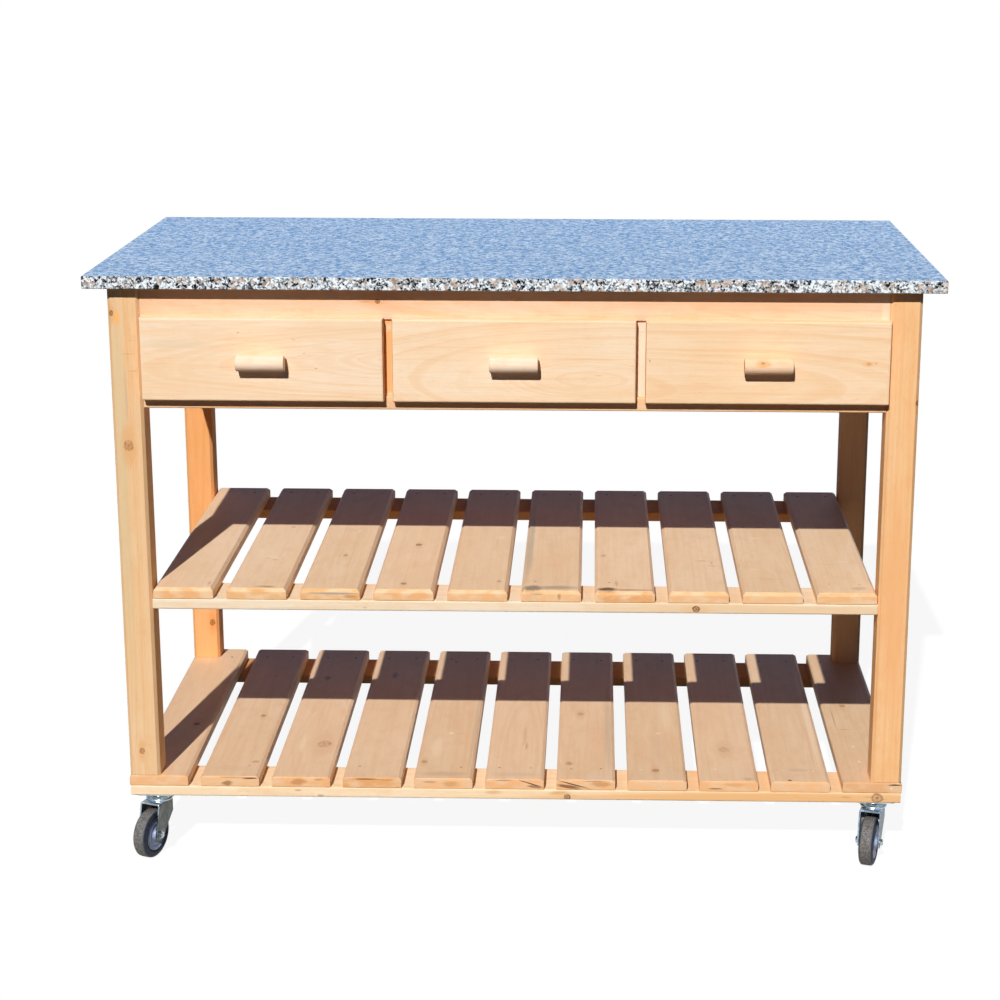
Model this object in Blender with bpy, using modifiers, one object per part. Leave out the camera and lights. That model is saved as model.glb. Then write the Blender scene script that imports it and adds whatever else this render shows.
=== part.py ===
"""Outdoor kitchen unit: a granite worktop on a wooden frame with three drawers,
two slatted shelves and four swivel castors.

Units are metres and +Z is up. The drawers face -Y. The origin is on the floor,
under the middle of the unit's outline.
"""

from math import cos, pi, radians, sin

import bmesh
import bpy
from mathutils import Matrix, Vector

# Gap kept between faces that touch on the real unit
SEAT = 0.0003

# Granite worktop
TOP_LENGTH = 1.200
TOP_DEPTH = 0.600
TOP_THICKNESS = 0.018
TOP_EDGE = 0.0015
TOP_OVERHANG_SIDE = 0.030
TOP_OVERHANG_FRONT = 0.020

# Legs, which stand on the end slats of the bottom shelf
LEG_SIDE = 0.045
LEG_LENGTH = 0.732
LEG_CHAMFER = 0.0045

# Slatted shelves
SHELF_RAIL_THICKNESS = 0.016
SHELF_RAIL_DEPTH = 0.080
SHELF_RAIL_ROUNDING = 0.0025
SLAT_WIDTH = 0.087
SLAT_THICKNESS = 0.016
SLAT_CHAMFER = 0.0045
BOTTOM_END_CHAMFER = 0.0025
BOTTOM_SLATS = 11
MIDDLE_SLATS = 10
SHELF_CLEARANCE = 0.259
BOTTOM_SLAT_OVERHANG = 0.0012
END_SLAT_CLEARANCE = 0.0015

# Frame round the drawers
FRAME_SETBACK = 0.0026
FRAME_THICKNESS = 0.020
FRAME_EDGE = 0.0012
TOP_RAIL_HEIGHT = 0.045
LOWER_RAIL_HEIGHT = 0.020
LOWER_RAIL_DEPTH = 0.045
OPENING_HEIGHT = 0.109
DIVIDER_THICKNESS = 0.020
DIVIDER_SETBACK = 0.004
LEDGE_WIDTH = 0.020
GUIDE_HEIGHT = 0.030

# Drawers
FRONT_THICKNESS = 0.016
FRONT_BEVEL = 0.0035
FRONT_GAP = 0.0134
FRONT_LAP_LEG = 0.0012
FRONT_LAP_TOP = 0.0038
FRONT_LAP_LOWER = 0.0057
FRONT_SHIFT_LEFT = 0.0021
FRONT_SHIFT_MIDDLE = 0.0011
FRONT_SHIFT_RIGHT = 0.0006
BOX_CLEARANCE = 0.0016
BOX_BACK_CLEARANCE = 0.0548
BOX_HEIGHT = 0.095
BOX_WALL = 0.012
BOX_BOTTOM = 0.005
BOX_BOTTOM_RISE = 0.008
HANDLE_DIAMETER = 0.023
HANDLE_LENGTH = 0.068
HANDLE_CHAMFER = 0.0012
HANDLE_DROP = 0.0018
HANDLE_SIDES = 24

# Castors: sizes in the castor's own frame, whose axis is the swivel axis
CASTOR_HEIGHT = 0.100
CASTOR_INSET = 0.035
PLATE_SIDE = 0.060
PLATE_THICKNESS = 0.0025
PLATE_CORNER = 0.006
RACE_TOP_RADIUS = 0.0192
RACE_LOW_RADIUS = 0.0155
RACE_HEIGHT = 0.0072
RUNNING_GAP = 0.0004
PIN_RADIUS = 0.0070
PIN_HEAD_RADIUS = 0.0100
PIN_NECK = 0.0035
PIN_HEAD_HEIGHT = 0.0022
DOME_HEIGHT = 0.0058
DOME_RADIUS = 0.0205
CROWN_THICKNESS = 0.003
FORK_WIDTH = 0.033
FORK_WALL = 0.0025
FORK_TOP_BACK = 0.0095
FORK_TOP_FRONT = 0.0265
FORK_KNEE_DROP = 0.019
FORK_END_RADIUS = 0.0095
TRAIL = 0.0275
AXLE_RADIUS = 0.004
BOLT_HEAD_RADIUS = 0.0055
BOLT_HEAD_HEIGHT = 0.0035
NUT_HEIGHT = 0.0045

# Castor wheel: rubber tyre on a plastic core
WHEEL_RADIUS = 0.036
WHEEL_STEPS = 40
TREAD_WIDTH = 0.013
TYRE_WIDTH = 0.024
SHOULDER_DROP = 0.0045
TYRE_WALL_RADIUS = 0.0260
CORE_RADIUS = 0.0235
CORE_RECESS = 0.0045
HUB_RADIUS = 0.0095
BORE_CLEARANCE = 0.0003

# Which way each castor trails: turn about Z from pointing at -Y, in degrees
CASTOR_TURNS = {
    "front_left": -21.5,
    "front_right": -16.5,
    "rear_left": -86.0,
    "rear_right": 8.0,
}

# Faces of the frame, seen from the middle of the worktop
LEG_X = TOP_LENGTH / 2 - TOP_OVERHANG_SIDE
LEG_Y = TOP_DEPTH / 2 - TOP_OVERHANG_FRONT
LEG_INNER_X = LEG_X - LEG_SIDE
LEG_INNER_Y = LEG_Y - LEG_SIDE
RAIL_END_X = LEG_INNER_X - SEAT
FRAME_FACE_Y = -LEG_Y + FRAME_SETBACK
LOWER_RAIL_BACK_Y = FRAME_FACE_Y + LOWER_RAIL_DEPTH
BACK_APRON_Y = LEG_Y - FRAME_SETBACK - FRAME_THICKNESS
SIDE_APRON_X = LEG_X - FRAME_SETBACK - FRAME_THICKNESS

# Heights above the floor
BOTTOM_RAIL_Z = CASTOR_HEIGHT
BOTTOM_SLAT_Z = BOTTOM_RAIL_Z + SHELF_RAIL_THICKNESS + SEAT
LEG_Z = BOTTOM_SLAT_Z + SLAT_THICKNESS + SEAT
LEG_TOP_Z = LEG_Z + LEG_LENGTH
TOP_Z = LEG_TOP_Z + SEAT
MIDDLE_RAIL_Z = LEG_Z + SHELF_CLEARANCE
MIDDLE_SLAT_Z = MIDDLE_RAIL_Z + SHELF_RAIL_THICKNESS + SEAT
TOP_RAIL_Z = LEG_TOP_Z - TOP_RAIL_HEIGHT
OPENING_Z = TOP_RAIL_Z - OPENING_HEIGHT
LOWER_RAIL_Z = OPENING_Z - LOWER_RAIL_HEIGHT

# Drawer fronts and boxes
FRONT_WIDTH = (2 * (LEG_INNER_X + FRONT_LAP_LEG) - 2 * FRONT_GAP) / 3
FRONT_PITCH = FRONT_WIDTH + FRONT_GAP
FRONT_BACK_Y = FRAME_FACE_Y - SEAT
FRONT_FACE_Y = FRONT_BACK_Y - FRONT_THICKNESS
FRONT_Z = OPENING_Z - FRONT_LAP_LOWER
FRONT_TOP_Z = TOP_RAIL_Z + FRONT_LAP_TOP
DIVIDER_X = FRONT_PITCH / 2
BOX_HALF_WIDTH = DIVIDER_X - DIVIDER_THICKNESS / 2 - BOX_CLEARANCE
BOX_Z = OPENING_Z + SEAT
BOX_FRONT_Y = FRONT_BACK_Y + SEAT
BOX_BACK_Y = BACK_APRON_Y - BOX_BACK_CLEARANCE
GUIDE_X = FRONT_PITCH + BOX_HALF_WIDTH + BOX_CLEARANCE
HANDLE_FLAT = HANDLE_DIAMETER / 2 * cos(pi / HANDLE_SIDES)
HANDLE_Y = FRONT_FACE_Y - SEAT - HANDLE_FLAT
HANDLE_Z = (FRONT_Z + FRONT_TOP_Z) / 2 - HANDLE_DROP

# Castor heights; the wheel stands on one of its flats
PLATE_TOP_Z = CASTOR_HEIGHT - SEAT
PLATE_Z = PLATE_TOP_Z - PLATE_THICKNESS
RACE_Z = PLATE_Z - RACE_HEIGHT
DOME_TOP_Z = RACE_Z - RUNNING_GAP
CROWN_TOP_Z = DOME_TOP_Z - DOME_HEIGHT
CROWN_Z = CROWN_TOP_Z - CROWN_THICKNESS
FORK_SLOT = FORK_WIDTH - 2 * FORK_WALL
AXLE_Z = WHEEL_RADIUS * cos(pi / WHEEL_STEPS)
CASTOR_X = LEG_X - CASTOR_INSET
CASTOR_Y = LEG_Y - CASTOR_INSET

# The handles stand out furthest in front and the worktop furthest behind
UNIT_Y = -(HANDLE_Y - HANDLE_FLAT + TOP_DEPTH / 2) / 2

# Name: base colour, roughness, metallic
FINISHES = {
    "granite": ((0.45, 0.47, 0.50), 0.12, 0.0),
    "leg_wood": ((0.83, 0.60, 0.36), 0.55, 0.0),
    "frame_wood": ((0.86, 0.64, 0.40), 0.55, 0.0),
    "front_wood": ((0.90, 0.72, 0.50), 0.55, 0.0),
    "slat_wood": ((0.75, 0.55, 0.36), 0.60, 0.0),
    "rail_wood": ((0.92, 0.76, 0.53), 0.60, 0.0),
    "handle_wood": ((0.92, 0.77, 0.55), 0.50, 0.0),
    "box_wood": ((0.84, 0.64, 0.42), 0.60, 0.0),
    "zinc": ((0.55, 0.60, 0.64), 0.30, 1.0),
    "tyre": ((0.12, 0.12, 0.13), 0.70, 0.0),
}


def clear_scene():
    """Remove the objects that the scene starts with."""
    for obj in list(bpy.data.objects):
        bpy.data.objects.remove(obj, do_unlink=True)


def new_collection(name):
    """Make a collection in the scene."""
    made = bpy.data.collections.new(name)
    bpy.context.scene.collection.children.link(made)
    return made


def new_material(name):
    """Make one plain finish."""
    colour, roughness, metallic = FINISHES[name]
    made = bpy.data.materials.new(name)
    made.use_nodes = True
    shader = made.node_tree.nodes["Principled BSDF"]
    shader.inputs["Base Color"].default_value = (*colour, 1.0)
    shader.inputs["Roughness"].default_value = roughness
    shader.inputs["Metallic"].default_value = metallic
    made.diffuse_color = (*colour, 1.0)
    return made


clear_scene()
PARTS = new_collection("outdoor_kitchen_unit")
CUTTERS = new_collection("cutters")
MATERIALS = {name: new_material(name) for name in FINISHES}


def add_object(name, mesh, finish, parent, location=(0, 0, 0)):
    """Place a mesh as one sub-part with its finish."""
    obj = bpy.data.objects.new(name, mesh)
    PARTS.objects.link(obj)
    obj.parent = parent
    obj.location = location
    if not mesh.materials:
        mesh.materials.append(MATERIALS[finish])
    return obj


def add_empty(name, parent, location, turn=0.0):
    """Make an empty that carries a group of sub-parts."""
    obj = bpy.data.objects.new(name, None)
    PARTS.objects.link(obj)
    obj.empty_display_size = 0.05
    obj.parent = parent
    obj.location = location
    obj.rotation_euler = (0, 0, turn)
    return obj


def cube_mesh(name, low, high):
    """Box mesh between two corners, centred on its own origin, and its centre."""
    low, high = Vector(low), Vector(high)
    mesh = bpy.data.meshes.new(name)
    bm = bmesh.new()
    bmesh.ops.create_cube(bm, size=1.0, matrix=Matrix.Diagonal((*(high - low), 1.0)))
    bm.to_mesh(mesh)
    bm.free()
    return mesh, (low + high) / 2


def bevel_edges(obj, width, chosen, segments=1):
    """Bevel the edges by the share of the width that the function chosen gives their ends."""
    mesh = obj.data
    weights = mesh.attributes.new("bevel_weight_edge", "FLOAT", "EDGE")
    for edge in mesh.edges:
        ends = [mesh.vertices[index].co for index in edge.vertices]
        weights.data[edge.index].value = float(chosen(*ends))
    bevel = obj.modifiers.new("bevel", "BEVEL")
    bevel.limit_method = "WEIGHT"
    bevel.width = width
    bevel.segments = segments


def along_z(start, end):
    """Edges that run up and down."""
    return abs(start.z - end.z) > SEAT


def along_x(start, end):
    """Edges that run left to right."""
    return abs(start.x - end.x) > SEAT


def on_top(start, end):
    """Edges round the upper face."""
    return start.z > 0 and end.z > 0


def on_front(start, end):
    """Edges round the face towards -Y."""
    return start.y < 0 and end.y < 0


def board(name, low, high, finish, parent, edge=0.0, chosen=None, segments=1):
    """A board between two corners, with some of its edges bevelled."""
    mesh, centre = cube_mesh(name, low, high)
    obj = add_object(name, mesh, finish, parent, centre)
    if chosen is not None:
        bevel_edges(obj, edge, chosen, segments)
    return obj


def turned(name, profile, steps, closed=False):
    """Solid turned about Z from (radius, height) points, listed down its outer side."""
    count = len(profile)
    edges = [(index, (index + 1) % count) for index in range(count if closed else count - 1)]
    mesh = bpy.data.meshes.new(name)
    mesh.from_pydata([(radius, 0.0, height) for radius, height in profile], edges, [])
    obj = bpy.data.objects.new(name, mesh)
    CUTTERS.objects.link(obj)
    screw = obj.modifiers.new("turn", "SCREW")
    screw.axis = "Z"
    screw.steps = steps
    screw.render_steps = steps
    screw.use_merge_vertices = True
    screw.merge_threshold = 0.00001
    return obj


def prism(name, outline, length, matrix):
    """Extrude a flat outline by its length; the outline lies in the local XY plane."""
    curve = bpy.data.curves.new(name, "CURVE")
    curve.dimensions = "2D"
    curve.fill_mode = "BOTH"
    curve.extrude = length / 2
    spline = curve.splines.new("POLY")
    spline.points.add(len(outline) - 1)
    for point, (across, up) in zip(spline.points, outline):
        point.co = (across, up, 0.0, 1.0)
    spline.use_cyclic_u = True
    source = bpy.data.objects.new(name, curve)
    CUTTERS.objects.link(source)
    bpy.context.view_layer.update()
    mesh = bpy.data.meshes.new_from_object(source.evaluated_get(bpy.context.evaluated_depsgraph_get()))
    bm = bmesh.new()
    bm.from_mesh(mesh)
    bmesh.ops.remove_doubles(bm, verts=bm.verts, dist=0.00001)
    bmesh.ops.transform(bm, matrix=matrix, verts=bm.verts)
    bm.to_mesh(mesh)
    bm.free()
    mesh.materials.clear()
    bpy.data.objects.remove(source)
    return mesh


def helper(name, mesh):
    """Object that only cuts or joins others; it is left out of the unit."""
    obj = bpy.data.objects.new(name, mesh)
    CUTTERS.objects.link(obj)
    obj.display_type = "WIRE"
    obj.hide_render = True
    return obj


def box_helper(name, low, high):
    """Box that only cuts or joins others."""
    mesh, centre = cube_mesh(name, low, high)
    obj = helper(name, mesh)
    obj.location = centre
    return obj


def rod_helper(name, radius, low_x, high_x, centre_y, centre_z, sides):
    """Rod along X that only cuts or joins others."""
    mesh = bpy.data.meshes.new(name)
    bm = bmesh.new()
    place = Matrix.Translation(((low_x + high_x) / 2, centre_y, centre_z)) @ Matrix.Rotation(pi / 2, 4, "Y")
    bmesh.ops.create_cone(bm, cap_ends=True, segments=sides, radius1=radius, radius2=radius,
                          depth=high_x - low_x, matrix=place)
    bm.to_mesh(mesh)
    bm.free()
    return helper(name, mesh)


def combine(obj, other, operation):
    """Add a Boolean modifier."""
    boolean = obj.modifiers.new(operation.lower(), "BOOLEAN")
    boolean.operation = operation
    boolean.object = other


def baked(obj, helpers=()):
    """Mesh of an object with its modifiers applied; the object and its helpers go."""
    bpy.context.view_layer.update()
    mesh = bpy.data.meshes.new_from_object(obj.evaluated_get(bpy.context.evaluated_depsgraph_get()))
    mesh.name = obj.name
    mesh.materials.clear()
    for used in (obj, *helpers):
        bpy.data.objects.remove(used, do_unlink=True)
    return mesh


def shade_round(mesh):
    """Smooth shading, with the edges over 35 degrees kept sharp."""
    mesh.shade_smooth()
    mesh.set_sharp_from_angle(angle=radians(35))


def make_worktop(unit):
    """Granite slab with eased edges."""
    board("granite_top", (-TOP_LENGTH / 2, -TOP_DEPTH / 2, TOP_Z),
          (TOP_LENGTH / 2, TOP_DEPTH / 2, TOP_Z + TOP_THICKNESS),
          "granite", unit, TOP_EDGE, lambda start, end: True, 2)


def make_legs(unit):
    """Four square legs with chamfered long edges."""
    for row, side_y in (("front", -1), ("rear", 1)):
        for column, side_x in (("left", -1), ("right", 1)):
            xs = sorted((side_x * LEG_X, side_x * LEG_INNER_X))
            ys = sorted((side_y * LEG_Y, side_y * LEG_INNER_Y))
            board(f"leg_{row}_{column}", (xs[0], ys[0], LEG_Z), (xs[1], ys[1], LEG_TOP_Z),
                  "leg_wood", unit, LEG_CHAMFER, along_z)


def make_shelf(unit, level, count, rail_z, rail_x, slat_end_x, end_chamfer):
    """Two rails laid flat, with slats from front to rear on them."""
    def slat_edges(start, end):
        share = end_chamfer / SLAT_CHAMFER if along_x(start, end) else 1.0
        return share if on_top(start, end) else 0.0

    for row, side_y in (("front", -1), ("rear", 1)):
        ys = sorted((side_y * LEG_Y, side_y * (LEG_Y - SHELF_RAIL_DEPTH)))
        board(f"{level}_rail_{row}", (-rail_x, ys[0], rail_z),
              (rail_x, ys[1], rail_z + SHELF_RAIL_THICKNESS),
              "rail_wood", unit, SHELF_RAIL_ROUNDING, along_x, 2)
    pitch = (2 * slat_end_x - SLAT_WIDTH) / (count - 1)
    slat_z = rail_z + SHELF_RAIL_THICKNESS + SEAT
    for index in range(count):
        low_x = -slat_end_x + index * pitch
        board(f"{level}_slat_{index + 1:02d}", (low_x, -LEG_Y, slat_z),
              (low_x + SLAT_WIDTH, LEG_Y, slat_z + SLAT_THICKNESS),
              "slat_wood", unit, SLAT_CHAMFER, slat_edges)


def make_drawer_frame(unit):
    """Rails, aprons, dividers and runners that hold the drawers."""
    board("front_top_rail", (-RAIL_END_X, FRAME_FACE_Y, TOP_RAIL_Z),
          (RAIL_END_X, FRAME_FACE_Y + FRAME_THICKNESS, LEG_TOP_Z),
          "frame_wood", unit, FRAME_EDGE, along_x)
    board("front_lower_rail", (-RAIL_END_X, FRAME_FACE_Y, LOWER_RAIL_Z),
          (RAIL_END_X, LOWER_RAIL_BACK_Y, OPENING_Z),
          "frame_wood", unit, FRAME_EDGE, along_x)
    board("back_apron", (-RAIL_END_X, BACK_APRON_Y, LOWER_RAIL_Z),
          (RAIL_END_X, BACK_APRON_Y + FRAME_THICKNESS, LEG_TOP_Z),
          "frame_wood", unit, FRAME_EDGE, along_x)
    apron_end_y = LEG_INNER_Y - SEAT
    for column, side_x in (("left", -1), ("right", 1)):
        xs = sorted((side_x * SIDE_APRON_X, side_x * (SIDE_APRON_X + FRAME_THICKNESS)))
        board(f"side_apron_{column}", (xs[0], -apron_end_y, LOWER_RAIL_Z),
              (xs[1], apron_end_y, LEG_TOP_Z), "frame_wood", unit)
        make_side_runner(unit, column, side_x, apron_end_y)
        make_divider(unit, column, side_x)


def upright(start_y, end_y):
    """Matrix that stands an XZ outline up between two places along Y."""
    middle = (start_y + end_y) / 2
    return Matrix.Translation((0, middle, 0)) @ Matrix.Rotation(pi / 2, 4, "X")


def make_side_runner(unit, column, side_x, end_y):
    """Ledge under an outer drawer's side, with the strip that guides the box."""
    start_y = LOWER_RAIL_BACK_Y + SEAT
    back_x = SIDE_APRON_X - SEAT
    outline = [
        (GUIDE_X - LEDGE_WIDTH, LOWER_RAIL_Z),
        (back_x, LOWER_RAIL_Z),
        (back_x, OPENING_Z + GUIDE_HEIGHT),
        (GUIDE_X, OPENING_Z + GUIDE_HEIGHT),
        (GUIDE_X, OPENING_Z),
        (GUIDE_X - LEDGE_WIDTH, OPENING_Z),
    ]
    mirrored = [(side_x * across, up) for across, up in outline][::side_x]
    mesh = prism(f"side_runner_{column}", mirrored, end_y - start_y, upright(start_y, end_y))
    add_object(f"side_runner_{column}", mesh, "frame_wood", unit)


def make_divider(unit, column, side_x):
    """Upright board between two drawers, with a ledge along each side of its foot."""
    front_y = FRAME_FACE_Y + DIVIDER_SETBACK
    back_y = BACK_APRON_Y - SEAT
    web = DIVIDER_THICKNESS / 2
    foot = web + LEDGE_WIDTH
    outline = [
        (-foot, LOWER_RAIL_Z), (foot, LOWER_RAIL_Z), (foot, OPENING_Z), (web, OPENING_Z),
        (web, TOP_RAIL_Z - SEAT), (-web, TOP_RAIL_Z - SEAT), (-web, OPENING_Z), (-foot, OPENING_Z),
    ]
    mesh = prism(f"divider_{column}", outline, back_y - front_y, upright(front_y, back_y))
    obj = add_object(f"divider_{column}", mesh, "frame_wood", unit, (side_x * DIVIDER_X, 0, 0))
    notch = box_helper(f"cut_divider_{column}",
                       (-2 * foot, front_y - LEDGE_WIDTH, LOWER_RAIL_Z - LEDGE_WIDTH),
                       (2 * foot, LOWER_RAIL_BACK_Y + SEAT, OPENING_Z + SEAT))
    notch.parent = obj
    combine(obj, notch, "DIFFERENCE")


def box_body(name):
    """Drawer box without a lid: walls, and a bottom set up from their lower edge."""
    low = (-BOX_HALF_WIDTH, BOX_FRONT_Y, BOX_Z)
    high = (BOX_HALF_WIDTH, BOX_BACK_Y, BOX_Z + BOX_HEIGHT)
    mesh, centre = cube_mesh(name, low, high)
    obj = helper(name, mesh)
    obj.location = centre
    inner_x = BOX_HALF_WIDTH - BOX_WALL
    inner_front = BOX_FRONT_Y + BOX_WALL
    inner_back = BOX_BACK_Y - BOX_WALL
    rise_z = BOX_Z + BOX_BOTTOM_RISE
    inside = box_helper("cut_inside", (-inner_x, inner_front, rise_z + BOX_BOTTOM),
                        (inner_x, inner_back, BOX_Z + 2 * BOX_HEIGHT))
    under = box_helper("cut_under", (-inner_x, inner_front, BOX_Z - BOX_HEIGHT),
                       (inner_x, inner_back, rise_z))
    for cutter in (inside, under):
        combine(obj, cutter, "DIFFERENCE")
    mesh = baked(obj, (inside, under))
    mesh.transform(Matrix.Translation(centre))
    return mesh


def handle_body():
    """Dowel with eased ends, lying along X with a flat towards the drawer front."""
    radius = HANDLE_DIAMETER / 2
    half = HANDLE_LENGTH / 2
    profile = [
        (0, half), (radius - HANDLE_CHAMFER, half), (radius, half - HANDLE_CHAMFER),
        (radius, HANDLE_CHAMFER - half), (radius - HANDLE_CHAMFER, -half), (0, -half),
    ]
    mesh = baked(turned("handle", profile, HANDLE_SIDES))
    mesh.transform(Matrix.Rotation(pi / HANDLE_SIDES, 4, "Z"))
    mesh.transform(Matrix.Rotation(pi / 2, 4, "Y"))
    shade_round(mesh)
    return mesh


def make_drawers(unit):
    """Three drawers, each on an empty that slides along Y."""
    box_mesh = box_body("drawer_box")
    handle_mesh = handle_body()
    for column, place, shift in (("left", -1, FRONT_SHIFT_LEFT), ("middle", 0, FRONT_SHIFT_MIDDLE),
                                 ("right", 1, FRONT_SHIFT_RIGHT)):
        slide = add_empty(f"drawer_{column}", unit, (place * FRONT_PITCH, 0, 0))
        add_object(f"drawer_{column}_box", box_mesh, "box_wood", slide)
        board(f"drawer_{column}_front", (shift - FRONT_WIDTH / 2, FRONT_FACE_Y, FRONT_Z),
              (shift + FRONT_WIDTH / 2, FRONT_BACK_Y, FRONT_TOP_Z),
              "front_wood", slide, FRONT_BEVEL, on_front)
        add_object(f"drawer_{column}_handle", handle_mesh, "handle_wood", slide,
                   (shift, HANDLE_Y, HANDLE_Z))


def plate_body():
    """Top plate with the upper race, hollow for the kingpin."""
    half = PLATE_SIDE / 2
    mesh, centre = cube_mesh("castor_plate", (-half, -half, PLATE_Z), (half, half, PLATE_TOP_Z))
    obj = helper("castor_plate", mesh)
    obj.location = centre
    bevel_edges(obj, PLATE_CORNER, along_z, 3)
    race = turned("race", [
        (0, PLATE_Z + PLATE_THICKNESS / 2), (RACE_TOP_RADIUS, PLATE_Z + PLATE_THICKNESS / 2),
        (RACE_TOP_RADIUS, PLATE_Z - RACE_HEIGHT / 3), (RACE_LOW_RADIUS, RACE_Z), (0, RACE_Z),
    ], 40)
    neck = PIN_RADIUS + RUNNING_GAP
    chamber = PIN_HEAD_RADIUS + RUNNING_GAP
    step_z = DOME_TOP_Z + PIN_NECK - RUNNING_GAP
    roof_z = DOME_TOP_Z + PIN_NECK + PIN_HEAD_HEIGHT + RUNNING_GAP
    hollow = turned("cut_race", [
        (0, roof_z), (chamber, roof_z), (chamber, step_z), (neck, step_z),
        (neck, RACE_Z - RACE_HEIGHT), (0, RACE_Z - RACE_HEIGHT),
    ], 32)
    combine(obj, race, "UNION")
    combine(obj, hollow, "DIFFERENCE")
    mesh = baked(obj, (race, hollow))
    mesh.transform(Matrix.Translation(centre))
    shade_round(mesh)
    return mesh


def fork_outline():
    """Side view of the fork as (y, z) points; -Y is the way that it trails."""
    knee_z = CROWN_Z - FORK_KNEE_DROP
    points = [(FORK_TOP_BACK, CROWN_TOP_Z), (FORK_TOP_BACK, knee_z)]
    for angle in (-35, -60, -90, -120, -150, -180):
        turn = radians(angle)
        points.append((-TRAIL + FORK_END_RADIUS * cos(turn), AXLE_Z + FORK_END_RADIUS * sin(turn)))
    points.append((-FORK_TOP_FRONT, CROWN_TOP_Z))
    return points[::-1]


def fork_body():
    """Crown with the lower race and kingpin, two legs, and the axle bolt with its nut."""
    swing = Matrix(((0, 0, 1, 0), (1, 0, 0, 0), (0, 1, 0, 0), (0, 0, 0, 1)))
    obj = helper("castor_fork", prism("castor_fork", fork_outline(), FORK_WIDTH, swing))
    slot = box_helper("cut_fork", (-FORK_SLOT / 2, -2 * WHEEL_RADIUS, -WHEEL_RADIUS),
                      (FORK_SLOT / 2, WHEEL_RADIUS, CROWN_Z))
    pin_step_z = DOME_TOP_Z + PIN_NECK
    pin_top_z = pin_step_z + PIN_HEAD_HEIGHT
    dome = turned("dome", [
        (0, pin_top_z), (PIN_HEAD_RADIUS, pin_top_z), (PIN_HEAD_RADIUS, pin_step_z),
        (PIN_RADIUS, pin_step_z), (PIN_RADIUS, DOME_TOP_Z), (RACE_LOW_RADIUS, DOME_TOP_Z),
        (DOME_RADIUS, CROWN_TOP_Z), (DOME_RADIUS, CROWN_Z + CROWN_THICKNESS / 2),
        (0, CROWN_Z + CROWN_THICKNESS / 2),
    ], 40)
    half = FORK_WIDTH / 2
    sunk = FORK_WALL / 4
    axle = rod_helper("axle", AXLE_RADIUS, sunk - half, half + NUT_HEIGHT - sunk, -TRAIL, AXLE_Z, 16)
    head = rod_helper("head", BOLT_HEAD_RADIUS, -half - BOLT_HEAD_HEIGHT, sunk - half, -TRAIL, AXLE_Z, 12)
    nut = rod_helper("nut", BOLT_HEAD_RADIUS, half - sunk, half + NUT_HEIGHT, -TRAIL, AXLE_Z, 6)
    combine(obj, slot, "DIFFERENCE")
    for other in (dome, axle, head, nut):
        combine(obj, other, "UNION")
    mesh = baked(obj, (slot, dome, axle, head, nut))
    shade_round(mesh)
    return mesh


def wheel_body():
    """Wheel turned about its axle, with one flat of its tread facing down."""
    hub = FORK_SLOT / 2 - SEAT
    tyre = TYRE_WIDTH / 2
    tread = TREAD_WIDTH / 2
    bore = AXLE_RADIUS + BORE_CLEARANCE
    recess = tyre - CORE_RECESS
    upper = [
        (bore, hub), (HUB_RADIUS, hub), (HUB_RADIUS, recess), (CORE_RADIUS, recess),
        (TYRE_WALL_RADIUS, tyre - CORE_RECESS / 3),
        (WHEEL_RADIUS - SHOULDER_DROP, tyre - CORE_RECESS / 3),
        (WHEEL_RADIUS - SHOULDER_DROP / 5, (tyre + tread) / 2), (WHEEL_RADIUS, tread),
    ]
    lower = [(radius, -across) for radius, across in reversed(upper)]
    mesh = baked(turned("castor_wheel", upper + lower, WHEEL_STEPS, closed=True))
    mesh.transform(Matrix.Rotation(pi / WHEEL_STEPS, 4, "Z"))
    mesh.transform(Matrix.Rotation(pi / 2, 4, "Y"))
    shade_round(mesh)
    return mesh


def make_castors(unit):
    """Four castors: a plate on the rail, a fork that swivels and a wheel that turns."""
    plate_mesh = plate_body()
    fork_mesh = fork_body()
    wheel_mesh = wheel_body()
    for corner, turn in CASTOR_TURNS.items():
        row, column = corner.split("_")
        x = CASTOR_X if column == "right" else -CASTOR_X
        y = CASTOR_Y if row == "rear" else -CASTOR_Y
        add_object(f"castor_{corner}_plate", plate_mesh, "zinc", unit, (x, y, 0))
        swivel = add_empty(f"castor_{corner}_swivel", unit, (x, y, 0), radians(turn))
        add_object(f"castor_{corner}_fork", fork_mesh, "zinc", swivel)
        add_object(f"castor_{corner}_wheel", wheel_mesh, "tyre", swivel, (0, -TRAIL, AXLE_Z))


def build_unit():
    """Build every sub-part round the middle of the worktop."""
    unit = add_empty("unit", None, (0, UNIT_Y, 0))
    make_worktop(unit)
    make_legs(unit)
    make_shelf(unit, "bottom", BOTTOM_SLATS, BOTTOM_RAIL_Z, LEG_X,
               LEG_X + BOTTOM_SLAT_OVERHANG, BOTTOM_END_CHAMFER)
    make_shelf(unit, "middle", MIDDLE_SLATS, MIDDLE_RAIL_Z, RAIL_END_X,
               LEG_INNER_X - END_SLAT_CLEARANCE, SLAT_CHAMFER)
    make_drawer_frame(unit)
    make_drawers(unit)
    make_castors(unit)


build_unit()
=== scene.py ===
"""Looks of the outdoor kitchen unit: dressed boards, stone, nails, castors, light and camera.

Units are metres and +Z is up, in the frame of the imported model.
"""

from math import cos, pi, radians, sin

import bmesh
import bpy
from mathutils import Matrix, Vector


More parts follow.
